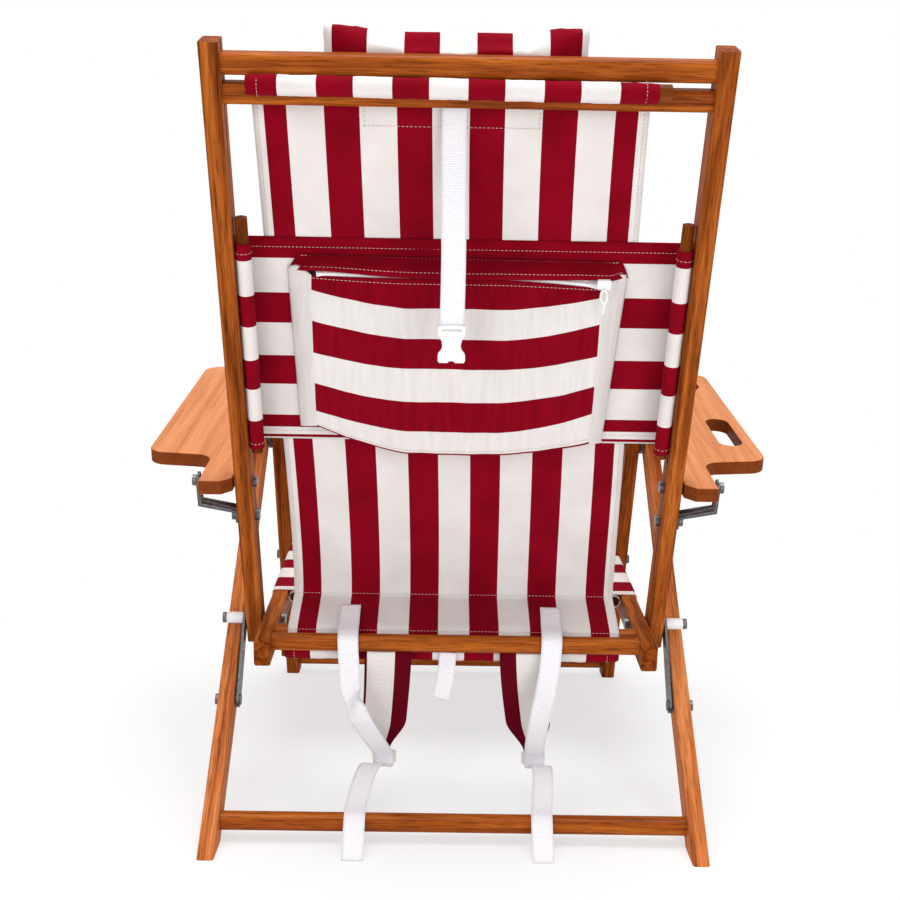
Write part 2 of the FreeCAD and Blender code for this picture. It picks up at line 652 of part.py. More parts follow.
NODES["zip_slider"] = zip_slider()
PULL_TOP = POST.at(SLIDER_AT, ZIP_FACE - ZIP_THICK - REST_GAP - SLIDER_THICK / 2, ZIP_AT - SLIDER_WIDE / 2)
PULL_HEAD = PULL_TOP.z - PULL_R * math.tan(math.radians(90 - POST_LEAN)) - REST_GAP / 2
NODES["zip_pull"] = rod_z(PULL_R, PULL_TOP.x, PULL_TOP.y, PULL_HEAD - PULL_LONG, PULL_HEAD)


# Head pillow, crowned both ways so that its corners run out to points
def lens(long, thick):
    """Half height of an arc that is thick in the middle and closes at both ends of its length."""
    ends = [Vector(0, 0, -long / 2), Vector(0, 0, long / 2)]
    front = Part.Arc(ends[0], Vector(0, thick / 2, 0), ends[1]).toShape()
    back = Part.Arc(ends[1], Vector(0, -thick / 2, 0), ends[0]).toShape()
    return Part.Face(Part.Wire([front, back]))


def pillow():
    high = lens(PILLOW_HIGH, PILLOW_THICK)
    high.translate(Vector(-PILLOW_WIDE / 2, 0, 0))
    high = high.extrude(Vector(PILLOW_WIDE, 0, 0))
    wide = lens(PILLOW_WIDE, PILLOW_THICK * 1.15)
    wide.rotate(Vector(0, 0, 0), Vector(0, 1, 0), 90)
    wide.translate(Vector(0, 0, -PILLOW_HIGH / 2))
    wide = wide.extrude(Vector(0, 0, PILLOW_HIGH))
    shape = high.common(wide)
    shape.translate(Vector(WEB_X, BAR_SIZE / 2 + 2 * REST_GAP + CLOTH + PILLOW_THICK / 2, PILLOW_AT))
    return POST.put(shape)


NODES["head_pillow"] = pillow()

# Closure strap: hangs from the back of the sling and ends in one half of a buckle
WEB_TOP = POST.at(WEB_X, BAR_SIZE / 2 - WEB_THICK / 2, WEB_FROM)
WEB_END = WEB_TOP - Vector(0, 0, WEB_LONG)
NODES["closure_strap"] = ribbon([WEB_TOP, WEB_END], WEB_WIDE, WEB_THICK)
half = BUCKLE_WIDE / 2
NODES["closure_buckle"] = rounded(box(WEB_X - half, WEB_X + half,
                                      WEB_END.y - BUCKLE_THICK / 2, WEB_END.y + BUCKLE_THICK / 2,
                                      WEB_END.z - BUCKLE_LONG, WEB_END.z), 3.0, Vector(0, 1, 0))

# Shoulder straps under the seat: padded, tapering to the adjuster
STRAP_TOP = SECOND_BAR + Vector(0, 6, -ROUND_BAR_R - REST_GAP)


def shoulder_strap(x):
    half = STRAP_WIDE / 2
    tip = ADJUSTER_WIDE * 0.35
    outline = [(x - half, 0), (x + half, 0), (x + half, -STRAP_LONG * 0.35), (x + tip, -STRAP_LONG),
               (x - tip, -STRAP_LONG), (x - half, -STRAP_LONG * 0.35)]
    corners = [Vector(px, -STRAP_THICK / 2, pz) for px, pz in outline]
    pad = Part.Face(Part.makePolygon(corners + corners[:1])).extrude(Vector(0, STRAP_THICK, 0))
    crown = lens(STRAP_WIDE * 1.5, STRAP_THICK)
    crown.rotate(Vector(0, 0, 0), Vector(0, 1, 0), 90)
    crown.translate(Vector(x, 0, -STRAP_LONG))
    pad = pad.common(crown.extrude(Vector(0, 0, STRAP_LONG)))
    pad.translate(STRAP_TOP)
    return pad


def adjuster(x):
    half = ADJUSTER_WIDE / 2
    top = STRAP_TOP + Vector(x, -ADJUSTER_BACK, -STRAP_LONG)
    body = box(top.x - half, top.x + half, top.y - ADJUSTER_THICK / 2, top.y + ADJUSTER_THICK / 2,
               top.z - ADJUSTER_LONG, top.z)
    return rounded(body, 2.0, Vector(0, 1, 0))


def strap_webbing(x, top_x, end_x):
    """From the sling over both rear bars, down past the adjuster, over the rear leg bar to the floor."""
    mid = WEB_THICK / 2
    over_bar = ROUND_BAR_R + WRAP_ROOM + CLOTH + REST_GAP + mid
    touch = SECOND_BAR + turned(over_bar, TOUCH) + Vector(top_x, 0, 0)
    start = touch + turned(WEB_LAP, TOUCH - 90)
    bar = REAR_LEG.at(0, 0, REAR_LEG_BAR_UP - LEG_REACH)
    low = STRAP_TOP + Vector(x, -ADJUSTER_BACK - ADJUSTER_THICK / 2 - mid, -STRAP_LONG)
    drift = end_x - x
    path = [start, touch] + wrap(REAR_BAR + Vector(top_x, 0, 0), over_bar, 92, 180)
    path += [low + Vector((top_x - x) * 0.5, -22, 80), low + Vector(0, -REST_GAP, 8),
             low - Vector(0, 0, ADJUSTER_LONG), low + Vector(drift * 0.4, -26, -ADJUSTER_LONG - 10)]
    path += wrap(bar + Vector(x + drift * 0.8, 0, 0), LEG_BAR_R + 2 * WRAP_ROOM + mid, 75, 124)
    path.append(Vector(end_x, bar.y - WEB_END_OUT, WEB_END_UP))
    return ribbon(path, STRAP_WEB, WEB_THICK)


for side, sign, spread in (("left", -1, WEB_SPREAD_LEFT), ("right", 1, WEB_SPREAD_RIGHT)):
    x = sign * STRAP_X
    NODES["shoulder_strap_" + side] = shoulder_strap(x)
    NODES["strap_adjuster_" + side] = adjuster(x)
    NODES["strap_webbing_" + side] = strap_webbing(x, x + sign * spread,
                                                 x + sign * spread * WEB_END_SHARE)

# Tail webbing of the closure, under the rear bars
TAIL_TOP = REAR_BAR + Vector(WEB_X, 0, -ROUND_BAR_R - REST_GAP)
NODES["closure_tail"] = ribbon([TAIL_TOP, TAIL_TOP - Vector(5, 2, TAIL_WEB_LONG)], STRAP_WEB, WEB_THICK)

# Put the origin on the floor under the middle of the chair
low_y = min(shape.BoundBox.YMin for shape in NODES.values())
high_y = max(shape.BoundBox.YMax for shape in NODES.values())
SHIFT = Vector(0, -(low_y + high_y) / 2, 0)
for name, shape in NODES.items():
    shape.translate(SHIFT)
    shape.exportStep("parts/" + name + ".step")

for label, point in (("seat_pivot", SEAT_PIVOT), ("front_pivot", FRONT_PIVOT), ("arm_pivot", ARM_PIVOT),
                     ("apex", APEX), ("link_pivot", LINK_PIVOT)):
    spot = point + SHIFT
    print(label, round(spot.x, 4), round(spot.y, 4), round(spot.z, 4))
print("rear leg lean", round(LEG_LEAN, 3), "link", round(LINK_LONG, 3),
      "leg", round(LEG_REACH - LINK_FOOT_DROP, 3))
for name, shape in NODES.items():
    print(name, len(shape.Solids), shape.isValid(), round(shape.Volume / 1000, 2))
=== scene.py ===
# %% [markdown]
# # A folding wooden beach chair that is carried on the back
# The wooden frame, its bolts and its steel links come from the CAD model and keep their shape.
# Everything soft is made here: the striped sling, the two wrapped panels, the pouch with its zip,
# the head pillow, the padded shoulder straps and the white webbing. So are the buckle, the strap adjusters
# and the steel strips that brace the arms.
# The frame is loaded first.

# %% Load the frame
import bmesh
import bpy
import json
import math
from mathutils import Matrix, Vector, noise

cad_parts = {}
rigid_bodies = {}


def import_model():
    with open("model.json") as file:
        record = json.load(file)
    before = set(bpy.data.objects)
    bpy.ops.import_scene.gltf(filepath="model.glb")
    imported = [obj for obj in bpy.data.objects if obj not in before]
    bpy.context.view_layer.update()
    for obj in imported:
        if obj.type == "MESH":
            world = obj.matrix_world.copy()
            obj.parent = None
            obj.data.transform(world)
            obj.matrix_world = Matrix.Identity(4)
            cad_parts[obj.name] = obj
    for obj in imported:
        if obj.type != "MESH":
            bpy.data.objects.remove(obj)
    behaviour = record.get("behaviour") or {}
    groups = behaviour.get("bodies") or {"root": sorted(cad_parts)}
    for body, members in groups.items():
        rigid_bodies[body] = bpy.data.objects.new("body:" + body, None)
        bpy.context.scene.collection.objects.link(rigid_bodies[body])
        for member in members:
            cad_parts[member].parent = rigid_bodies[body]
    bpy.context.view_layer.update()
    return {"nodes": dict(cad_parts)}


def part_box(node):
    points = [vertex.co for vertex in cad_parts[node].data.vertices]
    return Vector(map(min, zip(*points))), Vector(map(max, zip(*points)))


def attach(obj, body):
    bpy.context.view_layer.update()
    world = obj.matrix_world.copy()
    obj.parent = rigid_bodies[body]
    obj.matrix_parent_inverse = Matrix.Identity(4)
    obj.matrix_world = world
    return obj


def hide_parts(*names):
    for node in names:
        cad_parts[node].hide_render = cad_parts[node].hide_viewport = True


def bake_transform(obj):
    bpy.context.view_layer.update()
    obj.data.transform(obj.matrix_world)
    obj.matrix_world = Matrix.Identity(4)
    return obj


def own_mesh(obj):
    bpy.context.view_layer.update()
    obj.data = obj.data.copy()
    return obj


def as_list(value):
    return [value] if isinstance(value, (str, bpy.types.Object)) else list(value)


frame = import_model()
nodes = frame["nodes"]
MM = 0.001

# %% [markdown]
# ## The camera
# The photograph was taken from behind the chair, from about three quarters of its height. The camera looks
# down by ten degrees and is tilted by about one.
# Known points of the timber were matched to the photograph, which gives the camera's place, its turn and
# its focal length in pixels of a picture 900 wide. A camera object needs an orientation matrix whose
# columns are its right, its up and its backward direction, so those three are worked out here.

# %% Set the camera
PICTURE_WIDE = 900
FOCAL_PX = 1176.9
SENSOR_MM = 36.0
CAMERA_AT = Vector((-21.6, -1468.2, 676.0)) * MM
PITCH, ROLL, YAW = (math.radians(v) for v in (10.29, 0.99, 0.475))

forward = Vector((math.sin(YAW) * math.cos(PITCH), math.cos(YAW) * math.cos(PITCH), -math.sin(PITCH)))
level = Vector((math.cos(YAW), -math.sin(YAW), 0))
upright = level.cross(forward)
right = level * math.cos(ROLL) + upright * math.sin(ROLL)
up = upright * math.cos(ROLL) - level * math.sin(ROLL)
camera = bpy.data.objects.new("camera", bpy.data.cameras.new("camera"))
camera.data.sensor_width = SENSOR_MM
camera.data.lens = FOCAL_PX * SENSOR_MM / PICTURE_WIDE
camera.matrix_world = Matrix.Translation(CAMERA_AT) @ Matrix((right, up, -forward)).transposed().to_4x4()
bpy.context.scene.collection.objects.link(camera)
bpy.context.scene.camera = camera
print("lens in mm:", round(camera.data.lens, 2))

# %% [markdown]
# ## Small helpers
# Colours are written as they look on a screen, in hex, and Blender wants linear values, so one function
# turns them. Others add shader nodes with their settings and links in one call, which keeps the materials
# below short enough to read. Two frames give places on the chair in its own terms: along the leaning
# back posts, and along the sloping seat rails. The turns are the members' slopes in the side view, in
# degrees.

# %% Helpers
POST_TURN, REAR_LEG_TURN, RAIL_TURN, ARM_TURN = 109.4, 43.4, 3.2, 9.4
LEAN = math.radians(70.6)
SLOPE = math.radians(RAIL_TURN)
SEAT_PIVOT = Vector((0, -72.16, 208.0))
RAIL_START = SEAT_PIVOT - 3.4 * Vector((0, -math.sin(SLOPE), math.cos(SLOPE)))


def linear(hex_colour):
    """An sRGB hex value as a linear colour with alpha."""
    channels = [int(hex_colour[i:i + 2], 16) / 255 for i in (1, 3, 5)]
    return [c / 12.92 if c <= 0.04045 else ((c + 0.055) / 1.055) ** 2.4 for c in channels] + [1.0]


def plug(tree, node, links):
    """Sets inputs of a node, each to a value or to another node's socket."""
    for socket, value in links.items():
        if isinstance(value, bpy.types.NodeSocket):
            tree.links.new(value, node.inputs[socket])
        else:
            node.inputs[socket].default_value = value


def add(tree, kind, links=None, **settings):
    """A new node with its settings and inputs."""
    node = tree.nodes.new(kind)
    for key, value in settings.items():
        setattr(node, key, value)
    plug(tree, node, links or {})
    return node


def maths(tree, operation, *values):
    """The result of a Math node on values or sockets."""
    return add(tree, "ShaderNodeMath", dict(enumerate(values)), operation=operation).outputs[0]


def two_tone(tree, factor, dark, light):
    """A colour from dark to light, by a factor."""
    ramp = add(tree, "ShaderNodeValToRGB", {"Fac": factor})
    ramp.color_ramp.elements[0].color = linear(dark)
    ramp.color_ramp.elements[1].color = linear(light)
    return ramp.outputs["Color"]


def new_finish(name):
    """An empty material, with its node tree and its main shader."""
    material = bpy.data.materials.new(name)
    material.use_nodes = True
    return material, material.node_tree, material.node_tree.nodes["Principled BSDF"]


def new_object(name, data):
    """An object in the scene, at the origin."""
    piece = bpy.data.objects.new(name, data)
    bpy.context.scene.collection.objects.link(piece)
    return piece


def on_post(x, out, high):
    """Millimetres across, forward of the posts' middle and up the posts, as a place in metres."""
    side = Vector((x, out * math.sin(LEAN) - high * math.cos(LEAN),
                   out * math.cos(LEAN) + high * math.sin(LEAN)))
    return (SEAT_PIVOT + side) * MM


def on_rail(x, along, high):
    """Millimetres across, along the seat rails and up from their middle, as a place in metres."""
    side = Vector((x, along * math.cos(SLOPE) - high * math.sin(SLOPE),
                   along * math.sin(SLOPE) + high * math.cos(SLOPE)))
    return (RAIL_START + side) * MM


def smooth(low, high, value):
    """0 below low, 1 above high, and an even S between them."""
    t = min(max((value - low) / (high - low), 0.0), 1.0)
    return t * t * (3 - 2 * t)


def crease(place, size, depth):
    """A small even wrinkle for cloth, in metres: the same at every run."""
    return depth * MM * noise.noise(Vector(place) / (size * MM))


print("top of the posts:", tuple(round(v, 3) for v in on_post(0, 0, 687)))

# %% [markdown]
# ## Light, floor and background
# The chair stands in a white studio. Large soft lamps light it evenly and leave a faint shadow under it.
# The floor is pale, and where the camera sees it, or sees it mirrored in something, it is lifted towards
# white: partly under the chair, where it keeps the shadow, and wholly further out, so that it meets the
# white background.

# %% Studio
SKY_LEVEL = 0.40
FLOOR_LIFT = 0.60
LIFT_FROM, LIFT_TO = 0.25, 0.95


def lamp(name, place, target, size, power):
    """A soft square lamp that faces a target."""
    light = bpy.data.lights.new(name, "AREA")
    light.size = size
    light.energy = power
    body = new_object(name, light)
    body.location = place
    body.rotation_euler = (Vector(target) - Vector(place)).to_track_quat("-Z", "Y").to_euler()


def seen_or_mirrored(tree):
    """1 on rays from the camera, on mirrored ones and on those that pass through something clear."""
    ray = add(tree, "ShaderNodeLightPath")
    seen = maths(tree, "MAXIMUM", ray.outputs["Is Camera Ray"], ray.outputs["Is Glossy Ray"])
    return maths(tree, "MAXIMUM", seen, ray.outputs["Is Transmission Ray"])


lamp("key_lamp", (-2.2, -3.4, 1.8), (0, 0, 0.35), 2.0, 46)
lamp("fill_lamp", (2.4, -3.3, 0.8), (0, 0, 0.3), 2.2, 48)
lamp("top_lamp", (0.1, -0.3, 4.4), (0, 0, 0.3), 2.8, 174)

world = bpy.data.worlds.new("studio")
world.use_nodes = True
tree = world.node_tree
tree.nodes.clear()
strength = add(tree, "ShaderNodeMapRange", {"Value": seen_or_mirrored(tree), "To Min": SKY_LEVEL,
                                            "To Max": 1.0})
sky = add(tree, "ShaderNodeBackground", {"Color": (1, 1, 1, 1), "Strength": strength.outputs[0]})
add(tree, "ShaderNodeOutputWorld", {"Surface": sky.outputs[0]})
bpy.context.scene.world = world
bpy.context.scene.view_settings.view_transform = "Standard"

floor_paint, tree, _ = new_finish("white_studio_floor")
tree.nodes.clear()
place = add(tree, "ShaderNodeTexCoord")
away = add(tree, "ShaderNodeVectorMath", {0: place.outputs["Object"]}, operation="LENGTH")
amount = add(tree, "ShaderNodeMapRange", {"Value": away.outputs["Value"], "From Min": LIFT_FROM,
                                          "From Max": LIFT_TO, "To Min": FLOOR_LIFT, "To Max": 1.0},
             interpolation_type="SMOOTHSTEP")
lift = maths(tree, "MULTIPLY", seen_or_mirrored(tree), amount.outputs[0])
matt = add(tree, "ShaderNodeBsdfDiffuse", {"Color": linear("#FAFAFA")})
glow = add(tree, "ShaderNodeEmission", {"Color": (1, 1, 1, 1), "Strength": 1.0})
both = add(tree, "ShaderNodeMixShader", {0: lift, 1: matt.outputs[0], 2: glow.outputs[0]})
add(tree, "ShaderNodeOutputMaterial", {"Surface": both.outputs[0]})

bpy.ops.mesh.primitive_plane_add(size=30)
floor = bpy.context.object
floor.name = "studio_floor"
floor.data.materials.append(floor_paint)

# %% [markdown]
# ## Varnished hardwood
# The timber is a reddish brown hardwood under a clear satin varnish. Its grain runs along each member, as
# fine dark pores over broad lighter and darker bands. Noise that is stretched along the member gives both.
# A Mapping node first turns the object's coordinates so that the grain follows a leaning member, and a
# second one stretches them. Each kind of member has its own offset, so that they don't look cut from one
# board. A member's ends are drawn a little darker, and every edge of the flat arms much darker, which is
# painted shade: those edges face away from the light above. The object's own normals tell which faces
# those are.

# %% Hardwood
GRAIN_ACROSS = 1 / (9 * MM)
GRAIN_ALONG = 1 / (260 * MM)
PORE_ACROSS = 1 / (1.3 * MM)
PORE_ALONG = 1 / (28 * MM)
POST_TINT = ("#5A260D", "#9A4E1B", "#C26E2D")
BAR_TINT = ("#6E2E0B", "#A04E15", "#C26D24")
# The rear legs' and arms' tints are lighter: partly their own tone, partly painted light from above on faces
# that look up.
LEG_TONE_AND_TOP_LIGHT = ("#954B25", "#C8723D", "#E09057")
ARM_TONE_AND_TOP_LIGHT = ("#B86F45", "#CB8255", "#D79166")
DOWEL_TINT = ("#4E230B", "#74390F", "#96541F")
END_DARKENING, EDGE_PAINTED_SHADE = "#DCCDBE", "#9C7C5A"


def hardwood(name, turn, along_x, offset, tint, flat=False):
    """Varnished timber with its grain along the member: turn is its slope in the side view, in degrees.

    A member's ends are drawn darker, and every edge of a flat board darker still, as painted shade."""
    material, tree, shader = new_finish(name)
    place = add(tree, "ShaderNodeTexCoord")
    turned = add(tree, "ShaderNodeMapping", {"Vector": place.outputs["Object"], "Location": offset,
                                             "Rotation": (math.radians(-turn), 0, 0)})
    band_scale = [GRAIN_ACROSS] * 3
    pore_scale = [PORE_ACROSS] * 3
    band_scale[0 if along_x else 1] = GRAIN_ALONG
    pore_scale[0 if along_x else 1] = PORE_ALONG
    banded = add(tree, "ShaderNodeMapping", {"Vector": turned.outputs[0], "Scale": band_scale})
    porous = add(tree, "ShaderNodeMapping", {"Vector": turned.outputs[0], "Scale": pore_scale})
    bands = add(tree, "ShaderNodeTexNoise", {"Vector": banded.outputs[0], "Scale": 1.0, "Detail": 5.0,
                                             "Distortion": 0.7})
    pores = add(tree, "ShaderNodeTexNoise", {"Vector": porous.outputs[0], "Scale": 1.0, "Detail": 3.0})
    ramp = add(tree, "ShaderNodeValToRGB", {"Fac": bands.outputs["Fac"]})
    ramp.color_ramp.elements[0].position = 0.28
    ramp.color_ramp.elements[0].color = linear(tint[0])
    ramp.color_ramp.elements[1].position = 0.74
    ramp.color_ramp.elements[1].color = linear(tint[2])
    ramp.color_ramp.elements.new(0.5).color = linear(tint[1])
    dark = add(tree, "ShaderNodeMapRange", {"Value": pores.outputs["Fac"], "From Min": 0.34, "From Max": 0.52,
                                            "To Min": 0.9 if flat else 0.52, "To Max": 1.0})
    facing = add(tree, "ShaderNodeMapping", {"Vector": place.outputs["Normal"],
                                             "Rotation": (math.radians(-turn), 0, 0)}, vector_type="VECTOR")
    axes = add(tree, "ShaderNodeSeparateXYZ", {0: facing.outputs[0]})
    kept_axis = "Z" if flat else "X" if along_x else "Y"
    straight = maths(tree, "ABSOLUTE", axes.outputs[kept_axis])
    reach = {"To Min": 1.0, "To Max": 0.0} if flat else {"To Min": 0.0, "To Max": 1.0}
    darkened_faces = add(tree, "ShaderNodeMapRange", {"Value": straight, "From Min": 0.45, "From Max": 0.9, **reach})
    grain = add(tree, "ShaderNodeVectorMath", {0: ramp.outputs["Color"], "Scale": dark.outputs[0]},
                operation="SCALE")
    # Ends are drawn darker; the flat boards' edges get painted shade.
    face_darkening = linear(EDGE_PAINTED_SHADE if flat else END_DARKENING)
    shade = add(tree, "ShaderNodeMix", {0: darkened_faces.outputs[0], 6: grain.outputs[0], 7: face_darkening}, data_type="RGBA",
                blend_type="MULTIPLY")
    gloss = add(tree, "ShaderNodeMapRange", {"Value": bands.outputs["Fac"], "To Min": 0.52, "To Max": 0.38})
    relief = add(tree, "ShaderNodeBump", {"Height": pores.outputs["Fac"], "Strength": 0.25,
                                          "Distance": 0.3 * MM})
    plug(tree, shader, {"Base Color": shade.outputs[2], "Roughness": gloss.outputs[0],
                        "Normal": relief.outputs[0], "IOR": 1.3, "Specular IOR Level": 0.04,
                        "Coat Weight": 0.12 if along_x else 0.01, "Coat Roughness": 0.2})
    return material


def dress(material, *names):
    """Gives CAD nodes a finish, in the slots that they already have."""
    for name in names:
        for spot in range(len(nodes[name].material_slots)):
            nodes[name].material_slots[spot].material = material


for name, turn, offset, tint, members in (
        ("varnished_post_left", POST_TURN, (0.3, 0.1, 0.2), POST_TINT, ("back_post_left",)),
        ("varnished_post_right", POST_TURN, (1.4, 0.6, 0.9), POST_TINT, ("back_post_right",)),
        ("varnished_front_leg", POST_TURN, (2.2, 0.3, 1.7), POST_TINT, ("front_leg_left", "front_leg_right")),
        ("varnished_rear_leg", REAR_LEG_TURN, (3.7, 2.2, 0.4), LEG_TONE_AND_TOP_LIGHT, ("rear_leg_left", "rear_leg_right")),
        ("varnished_rail", RAIL_TURN, (0.9, 1.2, 2.4), POST_TINT, ("seat_rail_left", "seat_rail_right")),
        ("varnished_arm", ARM_TURN, (1.1, 3.2, 0.6), ARM_TONE_AND_TOP_LIGHT, ("arm_left", "arm_right"))):
    dress(hardwood(name, turn, False, offset, tint, name == "varnished_arm"), *members)
bars = [name for name in nodes if "_bar" in name and "webbing" not in name]
for number, name in enumerate(sorted(bars)):
    offset = (0.7 * number, 0.4 + 0.3 * number, 1.3 * number)
    dress(hardwood("varnished_" + name, 0, True, offset, BAR_TINT), name)
dowels = [name for name in nodes if "dowel" in name]
for name in dowels:
    crosswise = name.startswith("sling")
    slope = POST_TURN if name.startswith("panel") else RAIL_TURN
    dress(hardwood("turned_" + name, 0 if crosswise else slope, crosswise, (0.2, 1.9, 0.5), DOWEL_TINT), name)
print("bars:", sorted(bars), "dowels:", sorted(dowels))

# %% [markdown]
# ## Zinc plated steel and white nylon
# The brackets, link straps, bolts and screws are steel with a dull zinc plating, grey with a faint cloudy
# pattern. The plating's own grey is darkened, as painted shade and painted reflection of the timber
# around it. The rollers, buckle, adjusters and zip slider are moulded white nylon: smooth, a little waxy,
# and with a faint grain from the mould.

# %% Steel and nylon
CLOUD, MOULD_GRAIN = 5 * MM, 0.9 * MM
zinc, tree, shader = new_finish("zinc_plated_steel")
place = add(tree, "ShaderNodeTexCoord")
cloud = add(tree, "ShaderNodeTexNoise", {"Vector": place.outputs["Object"], "Scale": 1 / CLOUD,
                                         "Detail": 4.0})
# This grey is darkened: painted shade and painted reflection of the timber around it.
tone = two_tone(tree, cloud.outputs["Fac"], "#3A3838", "#86878A")
rough = add(tree, "ShaderNodeMapRange", {"Value": cloud.outputs["Fac"], "To Min": 0.5, "To Max": 0.28})
plug(tree, shader, {"Base Color": tone, "Roughness": rough.outputs[0], "Metallic": 1.0})

nylon, tree, shader = new_finish("moulded_white_nylon")
place = add(tree, "ShaderNodeTexCoord")
grain = add(tree, "ShaderNodeTexNoise", {"Vector": place.outputs["Object"], "Scale": 1 / MOULD_GRAIN,
                                         "Detail": 2.0})
tone = two_tone(tree, grain.outputs["Fac"], "#E6E6E6", "#F4F4F3")
relief = add(tree, "ShaderNodeBump", {"Height": grain.outputs["Fac"], "Strength": 0.12, "Distance": 0.1 * MM})
plug(tree, shader, {"Base Color": tone, "Normal": relief.outputs[0], "Roughness": 0.38, "IOR": 1.53})

steel = [n for n in nodes if any(word in n for word in ("bolt", "bracket", "screw", "link_strap"))]
dress(zinc, *steel)
dress(nylon, "roller_left", "roller_right", "zip_slider")
print("steel:", len(steel), "nodes")

# %% [markdown]
# ## Striped canvas
# The cloth is a heavy cotton duck, woven with deep red and white stripes about 36 mm wide. Each soft piece
# carries a UV map in metres, so the stripes follow the cloth wherever it bends. The pattern divides one UV
# direction by the repeat of a red and a white stripe and keeps the fraction. Hems whose edge falls on one
# colour are single bands laid over that. The real threads are near 0.5 mm apart, which is finer than a
# pixel here, so the weave is drawn at 1.8 mm, and long soft noise gives the uneven dye. The shoulder straps
# are given a darker red than the rest, which is painted shade: they hang in shade under the seat.

# %% Canvas
REPEAT = 72 * MM
RED_SHARE = 0.485
RED, WHITE = "#88041B", "#E5E0DE"
RED_WORN, WHITE_SHADE = "#760315", "#DCD6D3"
# The shoulder straps' reds are darker: painted shade, for the shade they hang in under the seat.
STRAP_REDS_PAINTED_SHADE = ("#64031A", "#560212")
THREAD = 1.8 * MM


def canvas(name, first_red, bands=(), repeat=REPEAT, share=RED_SHARE, coordinates="cloth",
           reds=(RED, RED_WORN)):
    """Striped duck: red starts at first_red. A band is (axis, from, to, 1 for red or 0 for white), in mm.

    reds are the fresh and the worn red; the straps' darker pair is painted shade."""
    material, tree, shader = new_finish(name)
    if coordinates == "cloth":
        spot = add(tree, "ShaderNodeUVMap", uv_map="cloth").outputs[0]
    else:
        spot = add(tree, "ShaderNodeTexCoord").outputs["Object"]
    parts = add(tree, "ShaderNodeSeparateXYZ", {0: spot})
    axes = {"U": parts.outputs[0], "V": parts.outputs[1]}
    counted = maths(tree, "DIVIDE", maths(tree, "SUBTRACT", axes["U"], first_red * MM), repeat)
    red = maths(tree, "LESS_THAN", maths(tree, "FRACT", counted), share)
    for axis, low, high, value in bands:
        inside = maths(tree, "COMPARE", axes[axis], (low + high) / 2 * MM, (high - low) / 2 * MM)
        red = add(tree, "ShaderNodeMix", {0: inside, 2: red, 3: float(value)}).outputs[0]
    fade = add(tree, "ShaderNodeTexNoise", {"Vector": spot, "Scale": 1 / (45 * MM), "Detail": 6.0})
    fresh = add(tree, "ShaderNodeMix", {0: red, 6: linear(WHITE), 7: linear(reds[0])}, data_type="RGBA")
    tired = add(tree, "ShaderNodeMix", {0: red, 6: linear(WHITE_SHADE), 7: linear(reds[1])}, data_type="RGBA")
    age = add(tree, "ShaderNodeMapRange", {"Value": fade.outputs["Fac"], "From Min": 0.35, "From Max": 0.7})
    dyed = add(tree, "ShaderNodeMix", {0: age.outputs[0], 6: fresh.outputs[2], 7: tired.outputs[2]},
               data_type="RGBA")
    waves = []
    for axis in (0, 1) if coordinates == "cloth" else (0, 2):
        turn = maths(tree, "MULTIPLY", parts.outputs[axis], 2 * math.pi / THREAD)
        waves.append(maths(tree, "SINE", turn))
    weave = maths(tree, "MULTIPLY", *waves)
    depth = add(tree, "ShaderNodeMapRange", {"Value": weave, "From Min": -1.0, "From Max": 1.0,
                                             "To Min": 0.93, "To Max": 1.0})
    tone = add(tree, "ShaderNodeVectorMath", {0: dyed.outputs[2], "Scale": depth.outputs[0]},
               operation="SCALE")
    relief = add(tree, "ShaderNodeBump", {"Height": weave, "Strength": 0.3, "Distance": 0.15 * MM})
    plug(tree, shader, {"Base Color": tone.outputs[0], "Normal": relief.outputs[0], "Roughness": 0.88,
                        "Specular IOR Level": 0.04, "Sheen Weight": 0.01, "Sheen Roughness": 0.5})
    return material


print("stripe widths in mm:", round(REPEAT / MM * RED_SHARE, 1), round(REPEAT / MM * (1 - RED_SHARE), 1))

# %% [markdown]
# ## White webbing and thread
# The straps are woven nylon webbing with a fine rib across them. The rib is a sine along the strap, drawn at
# 2.4 mm so that it shows, and a fine fleck breaks it up. The thread of the seams is a dull off-white with a
# slight twist in its tone.

# %% Webbing and thread
RIB, FLECK, TWIST = 2.4 * MM, 3 * MM, 0.8 * MM
webbing, tree, shader = new_finish("white_woven_webbing")
spot = add(tree, "ShaderNodeUVMap", uv_map="cloth").outputs[0]
parts = add(tree, "ShaderNodeSeparateXYZ", {0: spot})
rib = maths(tree, "SINE", maths(tree, "MULTIPLY", parts.outputs[1], 2 * math.pi / RIB))
fleck = add(tree, "ShaderNodeTexNoise", {"Vector": spot, "Scale": 1 / FLECK, "Detail": 3.0})
mixed = maths(tree, "MULTIPLY_ADD", rib, 0.25, fleck.outputs["Fac"])
tone = two_tone(tree, mixed, "#DEDBE2", "#F6F5F8")
relief = add(tree, "ShaderNodeBump", {"Height": rib, "Strength": 0.35, "Distance": 0.25 * MM})
plug(tree, shader, {"Base Color": tone, "Normal": relief.outputs[0], "Roughness": 0.62, "Sheen Weight": 0.15})

thread, tree, shader = new_finish("off_white_sewing_thread")
place = add(tree, "ShaderNodeTexCoord")
twist = add(tree, "ShaderNodeTexNoise", {"Vector": place.outputs["Object"], "Scale": 1 / TWIST})
tone = two_tone(tree, twist.outputs["Fac"], "#B49A92", "#E0CFC8")
plug(tree, shader, {"Base Color": tone, "Roughness": 0.7})
print("soft finishes:", webbing.name, thread.name)

# %% [markdown]
# ## Making cloth from a rule
# A cloth piece is a grid: one function says where each point of the flat cloth ends up, and another gives
# its UV. The grid gets its thickness from Solidify, which is applied straight away, because the pieces
# that bend at a joint need their final vertices. Stitches repeat along a line, so a Geometry Nodes tree
# places one small stitch at each step of a curve, and the result is turned into a plain mesh.

